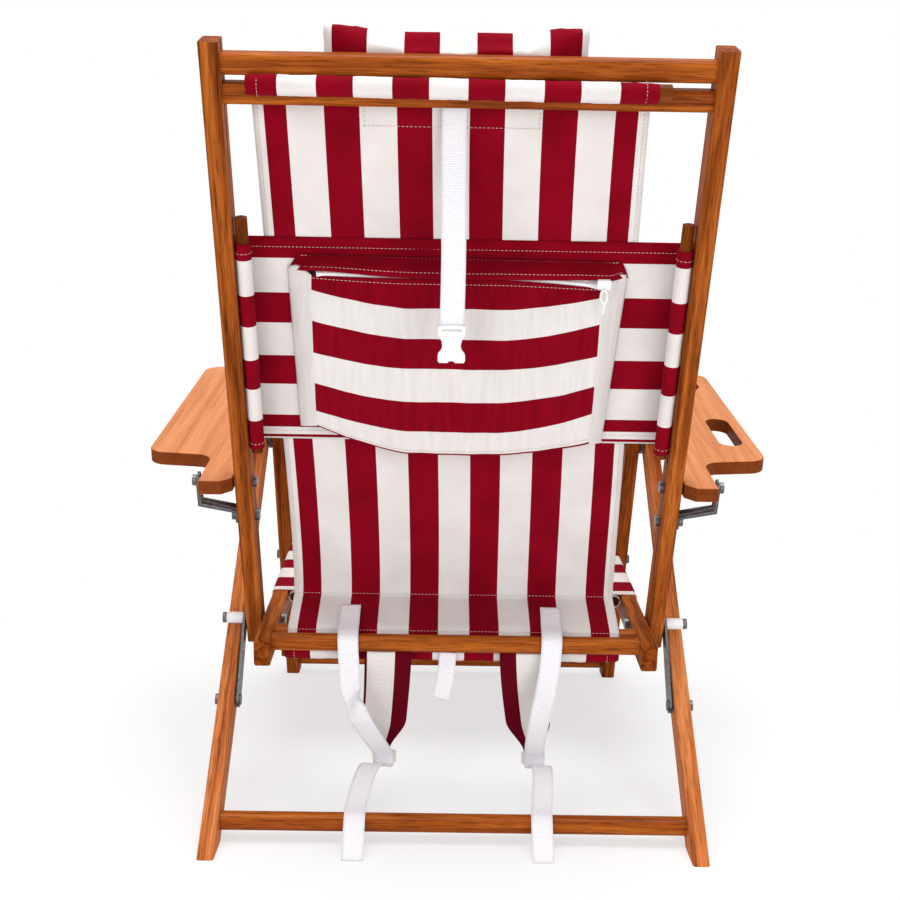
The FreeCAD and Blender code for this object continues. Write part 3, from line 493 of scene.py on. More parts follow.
# %% Cloth and stitch tools
CLOTH = 1.6 * MM
STITCH_STEP, THREAD_SIZE = 4.2, 0.75
STITCH_SHARE = 0.69
STITCH_FACES = 24


def plain(piece):
    """Replaces a piece's mesh by what its modifiers make of it."""
    bpy.context.view_layer.update()
    graph = bpy.context.evaluated_depsgraph_get()
    mesh = bpy.data.meshes.new_from_object(piece.evaluated_get(graph), preserve_all_data_layers=True,
                                           depsgraph=graph)
    piece.modifiers.clear()
    piece.data = mesh
    return piece


def mesh_piece(name, points, faces, uvs, material):
    """A smooth mesh with a UV in metres for each point."""
    mesh = bpy.data.meshes.new(name)
    mesh.from_pydata(points, [], faces)
    layer = mesh.uv_layers.new(name="cloth")
    for loop in mesh.loops:
        layer.data[loop.index].uv = uvs[loop.vertex_index]
    mesh.polygons.foreach_set("use_smooth", [True] * len(mesh.polygons))
    mesh.materials.append(material)
    return new_object(name, mesh)


def faces_out(mesh, merge=0.0, ease=0.0):
    """Turns every face outwards, after merging doubles or easing the edges where that is asked."""
    work = bmesh.new()
    work.from_mesh(mesh)
    if merge:
        bmesh.ops.remove_doubles(work, verts=work.verts, dist=merge)
    if ease:
        bmesh.ops.bevel(work, geom=work.edges[:], offset=ease, segments=2, affect="EDGES")
    bmesh.ops.recalc_face_normals(work, faces=work.faces)
    work.to_mesh(mesh)
    work.free()


def cloth(name, columns, rows, place, uv, material, thick=CLOTH):
    """A grid over the values in columns and rows; place and uv take one of each."""
    points = [place(c, r) for r in rows for c in columns]
    uvs = [uv(c, r) for r in rows for c in columns]
    wide = len(columns)
    faces = [(j * wide + i, j * wide + i + 1, (j + 1) * wide + i + 1, (j + 1) * wide + i)
             for j in range(len(rows) - 1) for i in range(wide - 1)]
    piece = mesh_piece(name, points, faces, uvs, material)
    wall = piece.modifiers.new("thickness", "SOLIDIFY")
    wall.thickness = thick
    wall.offset = 0.0
    return plain(piece)


def steps(low, high, count):
    """Even steps from low to high, both included."""
    return [low + (high - low) * i / count for i in range(count + 1)]


def curve_points(spline, spots):
    """Gives a new spline its points."""
    spline.points.add(len(spots) - 1)
    for point, spot in zip(spline.points, spots):
        point.co = (*spot, 1)


def curve_mesh(name, curve):
    """The plain mesh that a curve makes."""
    source = new_object(name, curve)
    bpy.context.view_layer.update()
    mesh = bpy.data.meshes.new_from_object(source)
    bpy.data.objects.remove(source)
    return mesh


def sewing_tree():
    """Geometry Nodes: one stitch at every step along the curves."""
    tree = bpy.data.node_groups.new("sewn_line", "GeometryNodeTree")
    tree.interface.new_socket("Line", in_out="INPUT", socket_type="NodeSocketGeometry")
    for label in ("Stitch step", "Stitch length", "Thread size"):
        tree.interface.new_socket(label, in_out="INPUT", socket_type="NodeSocketFloat")
    tree.interface.new_socket("Thread", in_out="INPUT", socket_type="NodeSocketMaterial")
    tree.interface.new_socket("Stitches", in_out="OUTPUT", socket_type="NodeSocketGeometry")
    given = add(tree, "NodeGroupInput")
    spots = add(tree, "GeometryNodeCurveToPoints", {"Curve": given.outputs["Line"],
                                                    "Length": given.outputs["Stitch step"]}, mode="LENGTH")
    bead = add(tree, "GeometryNodeMeshUVSphere", {"Segments": 6, "Rings": 4, "Radius": 0.5})
    size = given.outputs["Thread size"]
    scale = add(tree, "ShaderNodeCombineXYZ", {0: size, 1: size, 2: given.outputs["Stitch length"]})
    stitch = add(tree, "GeometryNodeTransform", {"Geometry": bead.outputs["Mesh"], "Scale": scale.outputs[0]})
    sewn = add(tree, "GeometryNodeInstanceOnPoints", {"Points": spots.outputs["Points"],
                                                      "Instance": stitch.outputs[0],
                                                      "Rotation": spots.outputs["Rotation"]})
    real = add(tree, "GeometryNodeRealizeInstances", {0: sewn.outputs[0]})
    finished = add(tree, "GeometryNodeSetMaterial", {"Geometry": real.outputs[0],
                                                     "Material": given.outputs["Thread"]})
    add(tree, "NodeGroupOutput", {0: finished.outputs[0]})
    return tree


SEWING = sewing_tree()


def stitches(name, lines, step=STITCH_STEP, size=THREAD_SIZE):
    """Sewn lines along lists of points, as one plain mesh."""
    curve = bpy.data.curves.new(name, "CURVE")
    curve.dimensions = "3D"
    for line in lines:
        curve_points(curve.splines.new("POLY"), line)
    source = new_object(name + "_line", curve)
    sewn = source.modifiers.new("sewing", "NODES")
    sewn.node_group = SEWING
    values = {"Stitch step": step * MM, "Stitch length": STITCH_SHARE * step * MM, "Thread size": size * MM,
              "Thread": thread}
    for socket in SEWING.interface.items_tree:
        if socket.name in values:
            sewn[socket.identifier] = values[socket.name]
    bpy.context.view_layer.update()
    graph = bpy.context.evaluated_depsgraph_get()
    mesh = bpy.data.meshes.new_from_object(source.evaluated_get(graph), depsgraph=graph)
    piece = new_object(name, mesh)
    bpy.data.objects.remove(source)
    return piece


sewing_inputs = [socket.name for socket in SEWING.interface.items_tree if socket.in_out == "INPUT"]
print("sewing tree inputs:", sewing_inputs)

# %% [markdown]
# ## The back sling
# One long cloth makes the back. It starts in a hem that is rolled round a dowel behind the two top bars,
# passes between the bars, comes down over the lower one, lies against the pouch panel, turns at a sewn
# crease just above the seat pivot and goes back over the second seat bar to a second rolled hem. Its path
# in the side view is a short list of corners that are cut off twice to round them, and the cloth is laid
# along it. It hangs a little askew, as the real one does, so its middle drifts across on the way down. It is
# slack enough to ripple, but where the panel lies close behind it the ripples only swell away from the panel.

# %% Sling
SLING_HALF = 196.0
REAR_BAR = (SEAT_PIVOT + Vector((0, -80.0, -1.5))) * MM
SECOND_BAR = REAR_BAR + 26 * MM * Vector((0, math.cos(SLOPE), math.sin(SLOPE)))
TOP_ROLL = on_post(0, -19.8, 649)
FOOT_ROLL = REAR_BAR + Vector((0, 13.86, -15.04)) * MM
CREASE = on_post(0, 21.9, 30)
WRAP_R = 12.3
WRAP_FROM, WRAP_TO = 110.9, 175
ROLL_R = 9.1


def round_bar(centre, radius, start, end, count):
    """Points round part of a bar, in the side view."""
    return [centre + radius * MM * Vector((0, math.cos(math.radians(a)), math.sin(math.radians(a))))
            for a in steps(start, end, count)]


def corners_cut(points, times):
    """The same path with its corners cut off, which rounds it and keeps its ends."""
    for _ in range(times):
        cut = [points[0]]
        for a, b in zip(points, points[1:]):
            cut += [a.lerp(b, 0.25), a.lerp(b, 0.75)]
        points = cut + [points[-1]]
    return points


def measured(points):
    """How far along the path each of its points is."""
    far = [0.0]
    for a, b in zip(points, points[1:]):
        far.append(far[-1] + (b - a).length)
    return far


def along(points, far, distance):
    """The place at a distance along the path, and the direction there."""
    i = 0
    while i < len(far) - 2 and far[i + 1] < distance:
        i += 1
    share = (distance - far[i]) / (far[i + 1] - far[i])
    return points[i].lerp(points[i + 1], share), (points[i + 1] - points[i]).normalized()


bar_wrap = round_bar(SECOND_BAR, WRAP_R, WRAP_FROM, WRAP_TO, 5)
sling_path = [on_post(0, -13, 652.5), on_post(0, -6, 652), on_post(0, 2, 652), on_post(0, 11.8, 651),
              on_post(0, 11.9, 640), on_post(0, 11.9, 626), on_post(0, 19.2, 500), on_post(0, 19.4, 238),
              CREASE, CREASE.lerp(bar_wrap[0], 0.5), CREASE.lerp(bar_wrap[0], 0.9)]
sling_path += bar_wrap + [FOOT_ROLL + Vector((0, -0.8, 6.0)) * MM]
sling_path = corners_cut(sling_path, 2)
sling_far = measured(sling_path)
sling_long = sling_far[-1]
crease_far = min(zip(sling_far, sling_path), key=lambda pair: (pair[1] - CREASE).length)[0]
PANEL_SPAN = (crease_far - 0.475, crease_far - 0.195)


def sling_middle(distance):
    """The cloth's middle drifts from left to right on its way down, in mm."""
    return -16.5 + 14.0 * smooth(0, crease_far, distance)


def sling_place(s, distance, lift=0.0):
    """Where a point of the sling is: s across it in mm, and a distance along it in metres."""
    spot, way = along(sling_path, sling_far, distance)
    out = Vector((0, way.z, -way.y))
    free = smooth(0.06, 0.12, distance) * (1 - smooth(crease_far - 0.03, crease_far, distance))
    wave = crease((s * MM, distance * 0.35, 0.7), 70, 2.6) * free * (0.35 + 0.65 * smooth(120, 196, abs(s)))
    if PANEL_SPAN[0] < distance < PANEL_SPAN[1]:
        wave = -0.5 * abs(wave)
    spot = spot + out * (wave + lift * MM)
    spot.x = (sling_middle(distance) + s) * MM
    return spot


rows = steps(0, sling_long, 120)
columns = steps(-SLING_HALF, SLING_HALF, 56)
EDGE_BANDS = [("U", -210, -185, 0), ("U", 185, 210, 0)]
HALF_WHITE = 18.5
sling_canvas = canvas("striped_duck_sling", HALF_WHITE, EDGE_BANDS)
ROLL_END_BAND = [("U", 180, 210, 1)]
roll_canvas = canvas("striped_duck_roll", HALF_WHITE - 3.5, ROLL_END_BAND)
sling = cloth("sling_cloth", columns, rows, sling_place, lambda s, d: (s * MM, d), sling_canvas)


def hem_roll(name, centre, middle, tilt=0.0):
    """A hem round its dowel, a little gathered, open at both ends."""
    def place(s, turn):
        swell = 1 + 0.07 * noise.noise(Vector((s / 20, math.cos(turn) * 1.2, math.sin(turn) * 1.2)))
        swell += 0.05 * noise.noise(Vector((s / 7 + turn, turn * 0.8, 5.0)))
        swell -= 0.05 * smooth(184, 195, abs(s))
        radius = ROLL_R * MM * swell
        droop = Vector((0, 0, -tilt * s * MM))
        return centre + droop + Vector(((middle + s) * MM, radius * math.cos(turn), radius * math.sin(turn)))
    turns = steps(0.0, 2 * math.pi, 28)
    return cloth(name, steps(-SLING_HALF, SLING_HALF, 180), turns, place,
                 lambda s, t: (s * MM, t * ROLL_R * MM), roll_canvas)


TOP_MIDDLE, FOOT_MIDDLE = -15.5, -5.0
top_roll = hem_roll("sling_top_hem", TOP_ROLL, TOP_MIDDLE, 0.005)
foot_roll = hem_roll("sling_foot_hem", FOOT_ROLL, FOOT_MIDDLE)
print("sling length in mm:", round(sling_long / MM), "crease at", round(crease_far / MM))

# %% [markdown]
# ### Seams of the sling
# A row of stitches runs across at the crease, another just above the second bar and one along each edge. A
# sewn rectangle below the top bars holds the pillow's flap. Both ends of each rolled hem have a ring of
# stitches. The lines are read from the same rules as the cloth, a little proud of it on the side that the
# seam shows.

# %% Sling seams
REAR_SIDE = 1.25
FLAP_EDGES = (-86, 88)
RING_STEP = 3.4


def across_sling(distance, low, high):
    """A line across the back face of the sling."""
    return [sling_place(s, distance, REAR_SIDE) for s in steps(low, high, 60)]


bar_far = crease_far + 66 * MM
pillow_far = crease_far - 577 * MM
pillow_line = across_sling(pillow_far, *FLAP_EDGES)
lines = [across_sling(crease_far - 3 * MM, -195, 195), across_sling(bar_far, -195, 195), pillow_line]
lines += [[sling_place(s, d, REAR_SIDE) for d in steps(0.05, pillow_far, 20)] for s in FLAP_EDGES]
lines += [[sling_place(s, d, REAR_SIDE) for d in steps(0.05, crease_far, 90)] for s in (-191, 191)]
sling_seams = stitches("sling_seams", lines)


def end_rings(centre, middle):
    """A ring of points round each end of a hem."""
    radius = (ROLL_R + 1.0) * MM
    return [[centre + Vector(((middle + s) * MM, radius * math.cos(a), radius * math.sin(a)))
             for a in steps(0, 2 * math.pi, 40)] for s in (-185, 184)]


top_rings = stitches("sling_top_hem_seams", end_rings(TOP_ROLL, TOP_MIDDLE), RING_STEP)
foot_rings = stitches("sling_foot_hem_seams", end_rings(FOOT_ROLL, FOOT_MIDDLE), RING_STEP)
for piece in (sling, sling_seams):
    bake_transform(piece)
for piece in (top_roll, top_rings):
    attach(piece, "back")
for piece in (foot_roll, foot_rings):
    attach(piece, "seat")
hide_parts("back_sling")
print("stitches on the sling:", len(sling_seams.data.polygons) // STITCH_FACES)

# %% [markdown]
# ## The two wrapped panels
# A band of canvas behind the sling carries the pouch, and another makes the seat. Each goes across the front
# of its two timbers, round their outsides and through a slot, and ends in a tunnel with a dowel inside that
# can't pull back through the slot. So each panel is one section, drawn once across the chair, and the cloth
# runs straight along the timber. Its stripes lie across the chair, so U counts along the timber here.

# %% Panels
TUNNEL_R = 7.5
TUNNEL_STEPS = 22
WRAP_POINTS = TUNNEL_STEPS + 6


def panel_section(outer, face, slot_at, dowel_x):
    """Points across the chair in mm: from inside one tunnel, round one timber, across and round the other."""
    skin = outer + 1.0
    front = face + 1.1
    around = [(dowel_x + TUNNEL_R * math.cos(a), slot_at + TUNNEL_R * math.sin(a))
              for a in steps(-5.9, 0.0, TUNNEL_STEPS)]
    wall = [(skin - 1.5, slot_at), (skin, slot_at + 1.5), (skin, front - 3.0), (skin - 0.9, front - 0.9),
            (skin - 3.0, front)]
    half = around + wall + [(skin - 3.0 - (skin - 3.0) * i / 36, front) for i in range(1, 37)]
    return half + [(-x, y) for x, y in reversed(half[:-1])]


def wrapped_panel(name, section, put, low, high, count, finish, sag, rise=0.0):
    """The section carried along the timbers, its free span sagging; rise moves the tunnels' stripes."""
    far = measured([Vector((x, y, 0)) for x, y in section])

    def place(i, at):
        x, out = section[i]
        free = WRAP_POINTS < i < len(section) - WRAP_POINTS - 1
        spread = max(0.0, 1 - (x / section[WRAP_POINTS + 12][0]) ** 2) if free else 0.0
        edge = 0.35 + 0.65 * smooth(0, 30, min(at - low, high - at))
        wave = 1.4 * noise.noise(Vector((x / 80, at / 60, 5.0))) * spread
        return put(x, out + sag * spread * edge + wave, at)

    def pattern(i, at):
        tube = i <= TUNNEL_STEPS or i > len(section) - TUNNEL_STEPS - 2
        return (max(at - rise, low + 16.0) if tube and rise else at) * MM, far[i] * MM
    return cloth(name, list(range(len(section))), steps(low, high, count), place, pattern, finish)


def laid_flat(section):
    """How wide a panel is when it is laid flat, in mm."""
    return measured([Vector((x, y, 0)) for x, y in section])[-1]


def on_seat(x, high, at):
    """A panel's place on the seat rails, in the order that panels use."""
    return on_rail(x, at, high)


PANEL_LOW, PANEL_HIGH = 246.0, 487.0
POST_FACE, RAIL_FACE, TIMBER_FRONT = 256.0, 233.5, 16.0
PANEL_DOWEL_X, PANEL_SLOT = 228.45, -4.0
SEAT_DOWEL_X, SEAT_SLOT = 205.95, 7.0
panel_canvas = canvas("striped_duck_panel", 315.5, [("U", 240, 261, 0), ("U", 248, 251.5, 1)], 74 * MM, 0.473)
back_section = panel_section(POST_FACE, TIMBER_FRONT, PANEL_SLOT, PANEL_DOWEL_X)
back_panel = wrapped_panel("pouch_panel_cloth", back_section, on_post, PANEL_LOW, PANEL_HIGH, 40,
                           panel_canvas, -0.6, 6.0)
back_panel_wide = laid_flat(back_section)

SEAT_LOW, SEAT_HIGH = 64.0, 360.0
seat_canvas = canvas("striped_duck_seat", 74.0, [("U", 60, 70, 0), ("U", 352, 364, 0)])
seat_section = panel_section(RAIL_FACE, TIMBER_FRONT, SEAT_SLOT, SEAT_DOWEL_X)
seat_panel = wrapped_panel("seat_panel_cloth", seat_section, on_seat, SEAT_LOW, SEAT_HIGH, 44,
                           seat_canvas, -7.0)
seat_panel_wide = laid_flat(seat_section)


def panel_line(section, put, at, lift):
    """A seam line along a panel's free span, raised off it by lift."""
    return [put(x, out + lift, at) for x, out in section[WRAP_POINTS:-WRAP_POINTS]]


SEAM_LIFT, SEAM_R = 1.2, 8.6
hems = [panel_line(back_section, on_post, at, lift) for at in (476.0, 256.5)
        for lift in (-SEAM_LIFT, SEAM_LIFT)]
for sign in (-1, 1):
    hems += [[on_post(sign * PANEL_DOWEL_X + SEAM_R * math.cos(a), PANEL_SLOT + SEAM_R * math.sin(a), at)
              for a in steps(0, 6.2, 30)] for at in (PANEL_LOW + 7, PANEL_HIGH - 10)]
panel_seams = stitches("pouch_panel_seams", hems)
seat_hems = [panel_line(seat_section, on_seat, at, SEAM_LIFT) for at in (69.0, 354.0)]
seat_seams = stitches("seat_panel_seams", seat_hems)
for piece, seams, body, node, flat, bars in (
        (back_panel, panel_seams, "back", "pouch_panel", (back_panel_wide, PANEL_HIGH - PANEL_LOW),
         ["back_post_left", "back_post_right"]),
        (seat_panel, seat_seams, "seat", "seat_panel", (seat_panel_wide, SEAT_HIGH - SEAT_LOW),
         ["seat_rail_left", "seat_rail_right"])):
    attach(piece, body)
    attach(seams, body)
    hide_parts(node)
    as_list(bars)
print("panel widths in mm, laid flat:", round(back_panel_wide), round(seat_panel_wide))

# %% [markdown]
# ## The pouch
# The zipped pouch hangs on the back of its panel: a short sloping top flap, a zip that gapes a little, a
# soft front that sags to a slack hem, and white gussets at both sides. It is lofted from listed lines,
# because its
# slack is what gives it away: the stripes dip in the middle, the front bulges, and the hem hangs lowest
# where nothing holds it. The front and both gussets are one sheet, and the flap is a second one.

# %% Pouch
# Lines across the front: height in the middle, climb to the left seam, climb to the right seam, stand-off
POUCH_LINES = ((452.3, 0.6, -9.0, 22.8), (422.0, 16.7, 13.3, 30.5), (389.5, 16.4, 17.3, 35.5),
               (355.5, 14.4, 15.1, 37.5), (315.5, 17.0, 18.8, 37.0), (277.5, 21.0, 22.7, 35.0),
               (246.0, 31.6, 14.0, 29.0))
HEM_LINE = 6.0
BAND = 35.0
FRONT_LEFT, FRONT_RIGHT = -159.0, 144.5
ROOT_LEFT = ((-186.0, 453.0), (-180.5, 264.5))
ROOT_RIGHT = ((174.0, 451.0), (162.0, 248.5))
PANEL_REAR = 14.8


def between_lines(t):
    """The four numbers of the front at t, which counts the lines from the zip to the hem."""
    i = min(int(t), len(POUCH_LINES) - 2)
    return [a + (b - a) * (t - i) for a, b in zip(POUCH_LINES[i], POUCH_LINES[i + 1])]


def front_place(x, t):
    """Height up the posts and stand-off of the front: lines climb to both seams, and the cloth is slack."""
    middle, left, right, stand = between_lines(min(t, HEM_LINE))
    high = middle + left * min(max((-60 - x) / 100, 0.0), 1.0) ** 1.25
    high += right * min(max((x - 40) / 105, 0.0), 1.0) ** 1.5
    crown = 1 - 0.2 * ((x + 8) / 155) ** 4
    loose = smooth(0.2, 1.0, t)
    fold = 2.2 * noise.noise(Vector((x / 60, high / 34, 9.0)))
    fold += 1.2 * noise.noise(Vector((x / 22, high / 70, 4.0)))
    pleat = 1.8 * math.sin(x / 6.5) * smooth(-40, 20, x) * smooth(5.6, HEM_LINE, t)
    return high + 0.5 * pleat, stand * crown + fold * loose + pleat


def pouch_place(s, t):
    """s runs from -1.2 to 1.2, and what is past 1 on each side is a gusset; t past 6 goes under the hem."""
    span = (FRONT_RIGHT - FRONT_LEFT) / 2
    seam = FRONT_RIGHT if s > 0 else FRONT_LEFT
    side = max(abs(s) - 1.0, 0.0) / 0.2
    x = (FRONT_LEFT + FRONT_RIGHT) / 2 + span * min(max(s, -1.0), 1.0)
    high, stand = front_place(x, t)
    under = max(t - HEM_LINE, 0.0) / 0.6
    high += 9.0 * under - 6.0 * math.sin(math.pi * under)
    stand *= 1 - under ** 1.5
    if side:
        top, low = ROOT_RIGHT if s > 0 else ROOT_LEFT
        share = min(t, HEM_LINE) / HEM_LINE
        root_x = top[0] + (low[0] - top[0]) * share
        root_high = top[1] + (low[1] - top[1]) * share
        puff = 2.5 * math.sin(math.pi * side)
        puff += 1.5 * side * (1 - side) * noise.noise(Vector((high / 25, side * 2, 3.0)))
        x = seam + (root_x - seam) * side + math.copysign(puff, s)
        high += (root_high - high) * side + 7.0 * math.sin(math.pi * side) * (1 - smooth(0.0, 0.8, t))
        stand *= (1 - side) ** 0.9
    return on_post(x, PANEL_REAR - stand, high)


def pouch_uv(s, t):
    """Each line is the edge of a stripe, so the stripes dip as the lines do."""
    return (t * BAND * MM, s)


POUCH_THICK = 1.2 * MM
POUCH_BANDS = [("U", 208.4, 240, 1), ("V", -1300, -1000, 0), ("V", 1000, 1300, 0)]
pouch_canvas = canvas("striped_duck_pouch", 0.0, POUCH_BANDS, 2 * BAND * MM, 0.5)
across = sorted(set(steps(-1.2, -1.0, 8) + steps(-1, 1, 72) + steps(1.0, 1.2, 8)))
downward = steps(0, HEM_LINE, 60) + [6.05, 6.15, 6.3, 6.45, 6.6]
pouch = cloth("pouch_cloth", across, downward, pouch_place, pouch_uv, pouch_canvas, POUCH_THICK)


def flap_place(s, t):
    """The flap slopes from the panel out to the zip, and its ends come back. s runs from -1 to 1."""
    x = (-174.5 - 10.5 * t) * (1 - s) / 2 + (166.5 + 8.0 * t) * (1 + s) / 2
    ends = smooth(0.88, 1.0, abs(s))
    out = PANEL_REAR + 0.6 - (23.4 - 22.0 * ends) * math.sin(t * math.pi / 2) ** 1.1
    low = 454.6 + 4.5 * smooth(0.2, 0.85, -s) - 1.2 * smooth(0.5, 0.85, s)
    low = low - 7.0 * smooth(0.88, 1.0, -s) - 4.0 * smooth(0.88, 1.0, s)
    low -= 2.0 * (1 - smooth(0.45, 0.8, abs(s)))
    top = 468.6 - 1.3 * (1 + s)
    ripple = 0.8 * noise.noise(Vector((s * 3.5, t, 2.0))) * t
    return on_post(x, out, top + (low - top) * t ** 1.2 + ripple)


plain_red = canvas("plain_red_duck", 0.0, [("U", -900, 900, 1)])
flap = cloth("pouch_flap", steps(-1, 1, 72), steps(0, 1, 12), flap_place, lambda s, t: (t * 0.03, s * 0.17),
             plain_red, POUCH_THICK)
pouch_long = sum((pouch_place(0, a) - pouch_place(0, b)).length for a, b in zip(downward, downward[1:]))
pouch_wide = sum((pouch_place(a, 3.0) - pouch_place(b, 3.0)).length for a, b in zip(across, across[1:]))
print("pouch front, laid flat, in mm:", round(pouch_wide / MM), round(pouch_long / MM))

# %% [markdown]
# ### The zip
# A white coil zip lies in the slot between the flap and the front. Its tape is a narrow strip, and its coil
# is a row of small beads set by the same tree that sews the seams. The slider runs along it and keeps its
# CAD shape. The pull is a short loop of white cord with a knot.

# %% Zip
ZIP_HALF = 154.0


def zip_place(x, high):
    """The tape lies behind both lips; its middle sinks to the right as they do."""
    up_post = 453.6 + high + 3.0 * smooth(60, 160, -x) - 5.0 * smooth(60, 155, x)
    return on_post(x, -5.2 + 0.8 * max(high, 0.0), up_post)


zip_tape = cloth("zip_tape", steps(-ZIP_HALF, ZIP_HALF, 50), steps(-7, 7, 6), zip_place,
                 lambda x, h: (h * MM, x * MM), webbing, 0.8 * MM)
coil = [[zip_place(x, 0) - Vector((0, 0.9 * MM, 0)) for x in steps(-ZIP_HALF + 2, ZIP_HALF - 2, 80)]]
zip_coil = stitches("zip_coil", coil, 2.2, 2.4)
zip_coil.data.materials[0] = nylon
outward = on_post(0, -1.0, 0) - on_post(0, 0, 0)
seams = [[pouch_place(s, t) + outward for s in steps(-0.985, 0.985, 80)] for t in (0.17, 5.86)]
seams += [[flap_place(s, t) + outward for s in steps(-0.97, 0.97, 70)] for t in (0.08, 0.68)]
pouch_seams = stitches("pouch_seams", seams)

pull_top = on_post(146, -15.2, 446)
LOOP_R, CORD_R = 5.5 * MM, 1.3 * MM
in_front = pull_top + Vector((0, -1.2 * MM, 0))
ring = [Vector((0.6 * math.cos(a), 0, math.sin(a) - 1.0)) * LOOP_R
        for a in steps(math.pi / 2, 2.5 * math.pi, 24)]
knot_end = ((0, -13), (0.8, -16), (0.2, -19), (-0.6, -22), (0.2, -25))
loop = bpy.data.curves.new("zip_pull_loop", "CURVE")
loop.dimensions = "3D"
curve_points(loop.splines.new("POLY"), [in_front + Vector((spot.x, 0, spot.z * 1.3)) for spot in ring])
curve_points(loop.splines.new("POLY"), [pull_top + Vector((x, -1.2, z)) * MM for x, z in knot_end])
loop.bevel_depth = CORD_R
loop.bevel_resolution = 3
loop.use_fill_caps = True
pull = new_object("zip_pull_cord", curve_mesh("zip_pull_source", loop))
pull.data.materials.clear()
pull.data.materials.append(nylon)
for piece in (pouch, flap, zip_tape, zip_coil, pouch_seams):
    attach(piece, "back")
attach(pull, "zip_runner")
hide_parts("pouch")
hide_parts("pouch_zip")
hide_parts("zip_pull")
print("coil beads:", len(zip_coil.data.polygons) // STITCH_FACES)

# %% [markdown]
# ## The head pillow
# The pillow is a stuffed bag of the same canvas: crowned, thin at its corners, with ends that pull in a
# little and long sides that bow out. A slim starting form is remeshed evenly and blown up by Blender's cloth
# simulation with inner pressure and no gravity, which makes it swell as stuffing does. How far a point may
# move is capped, and the side that lies on the sling is pressed flat against it. Remeshing drops UVs, so the
# stripes of this piece read object coordinates.

# %% Pillow
PILLOW_AT = (-12.5, 39.5, 634.0)
PILLOW_HALF = (137.0, 63.0)
PILLOW_THICK = 21.0
PILLOW_CAP = 9.0 * MM
PILLOW_SEAM = 2.0
END_PULL, SIDE_BOW = 0.015, 0.04
PILLOW_FRAMES = 20
VOXEL = 5.0 * MM
POST_OUTWARD = Vector((0, math.sin(LEAN), math.cos(LEAN)))
POST_UPWARD = Vector((0, -math.cos(LEAN), math.sin(LEAN)))


def sling_front(high):
    """How far forward of the posts the sling's front face is, where the pillow lies on it, in mm."""
    return 16.0 + 7.3 * max(0.0, 626.0 - high) / 126.0


def pillow_place(a, b, side):
    """A point of the starting form: a and b run from -1 to 1, side is the face."""
    pull = 1 - END_PULL * (1 - b * b) * abs(a) ** 3
    drop = 1 + SIDE_BOW * (1 - a * a) * abs(b) ** 3
    crown = max(0.0, (1 - a * a) * (1 - b * b)) ** 0.42
    return on_post(PILLOW_AT[0] + PILLOW_HALF[0] * a * pull,
                   PILLOW_AT[1] + side * (PILLOW_SEAM + PILLOW_THICK * crown),
                   PILLOW_AT[2] + PILLOW_HALF[1] * b * drop)


PILLOW_BANDS = [("U", -200, -135.0, 0), ("U", 110.5, 200, 0)]
pillow_canvas = canvas("striped_duck_pillow", 8.0, PILLOW_BANDS, 70.8 * MM, 0.49, "object")
count = 36
edge = steps(-1, 1, count)
front = [pillow_place(a, b, 1) for b in edge for a in edge]
back = [pillow_place(a, b, -1) for b in edge for a in edge]
wide = count + 1
faces = []
for j in range(count):
    for i in range(count):
        quad = (j * wide + i, j * wide + i + 1, (j + 1) * wide + i + 1, (j + 1) * wide + i)
        faces.append(quad)
        faces.append(tuple(wide * wide + k for k in reversed(quad)))
rim = list(range(wide)) + [j * wide + count for j in range(1, wide)]
rim += [count * wide + i for i in range(count - 1, -1, -1)] + [j * wide for j in range(count - 1, 0, -1)]
for a, b in zip(rim, rim[1:] + rim[:1]):
    faces.append((b, a, wide * wide + a, wide * wide + b))
pillow = mesh_piece("head_pillow_cushion", front + back, faces, [(0, 0)] * (2 * wide * wide), pillow_canvas)
faces_out(pillow.data)
remesh = pillow.modifiers.new("even", "REMESH")
remesh.mode = "VOXEL"
remesh.voxel_size = VOXEL
remesh.use_smooth_shade = True
plain(pillow)
start = [v.co.copy() for v in pillow.data.vertices]
swell = pillow.modifiers.new("stuffing", "CLOTH")
swell.settings.use_pressure = True
swell.settings.uniform_pressure_force = 4.0
swell.settings.effector_weights.gravity = 0.0
swell.settings.quality = 6
for number in range(1, PILLOW_FRAMES + 1):
    bpy.context.scene.frame_set(number)
plain(pillow)
bpy.context.scene.frame_set(1)
for vertex, before in zip(pillow.data.vertices, start):
    move = vertex.co - before
    if move.length > PILLOW_CAP:
        vertex.co = before + move * (PILLOW_CAP / move.length)
for vertex in pillow.data.vertices:
    away = vertex.co / MM - SEAT_PIVOT
    out, high = away.dot(POST_OUTWARD), away.dot(POST_UPWARD)
    vertex.co += POST_OUTWARD * MM * max(0.0, sling_front(high) - out)
soften = pillow.modifiers.new("soften", "SUBSURF")
soften.levels = soften.render_levels = 1
plain(pillow)
pillow.data.materials.clear()
pillow.data.materials.append(pillow_canvas)
pillow.data.polygons.foreach_set("use_smooth", [True] * len(pillow.data.polygons))
reach = []
for axis in range(3):
    values = [vertex.co[axis] for vertex in pillow.data.vertices]
    reach.append(max(values) - min(values))
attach(pillow, "back")
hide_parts("head_pillow")
print("pillow size in mm:", [round(v / MM) for v in reach])

# %% [markdown]
# ## Straps of flat webbing
# Webbing is stiff across and limp along, so a strap is a flat ribbon on a smooth line. The line is a NURBS
# spline that a few points of the route control, read back as points. At each of them the ribbon lies along
# a direction across the line, and that direction may turn on the way, which gives a twist.

# %% Webbing straps
WEB_THICK = 1.5 * MM


def smooth_line(route):
    """Points along a NURBS spline that has the route as its control points."""
    curve = bpy.data.curves.new("route", "CURVE")
    curve.dimensions = "3D"
    curve.resolution_u = 14
    spline = curve.splines.new("NURBS")
    curve_points(spline, route)
    spline.order_u = 3
    spline.use_endpoint_u = True
    mesh = curve_mesh("route", curve)
    points = [v.co.copy() for v in mesh.vertices]
    bpy.data.meshes.remove(mesh)
    return points


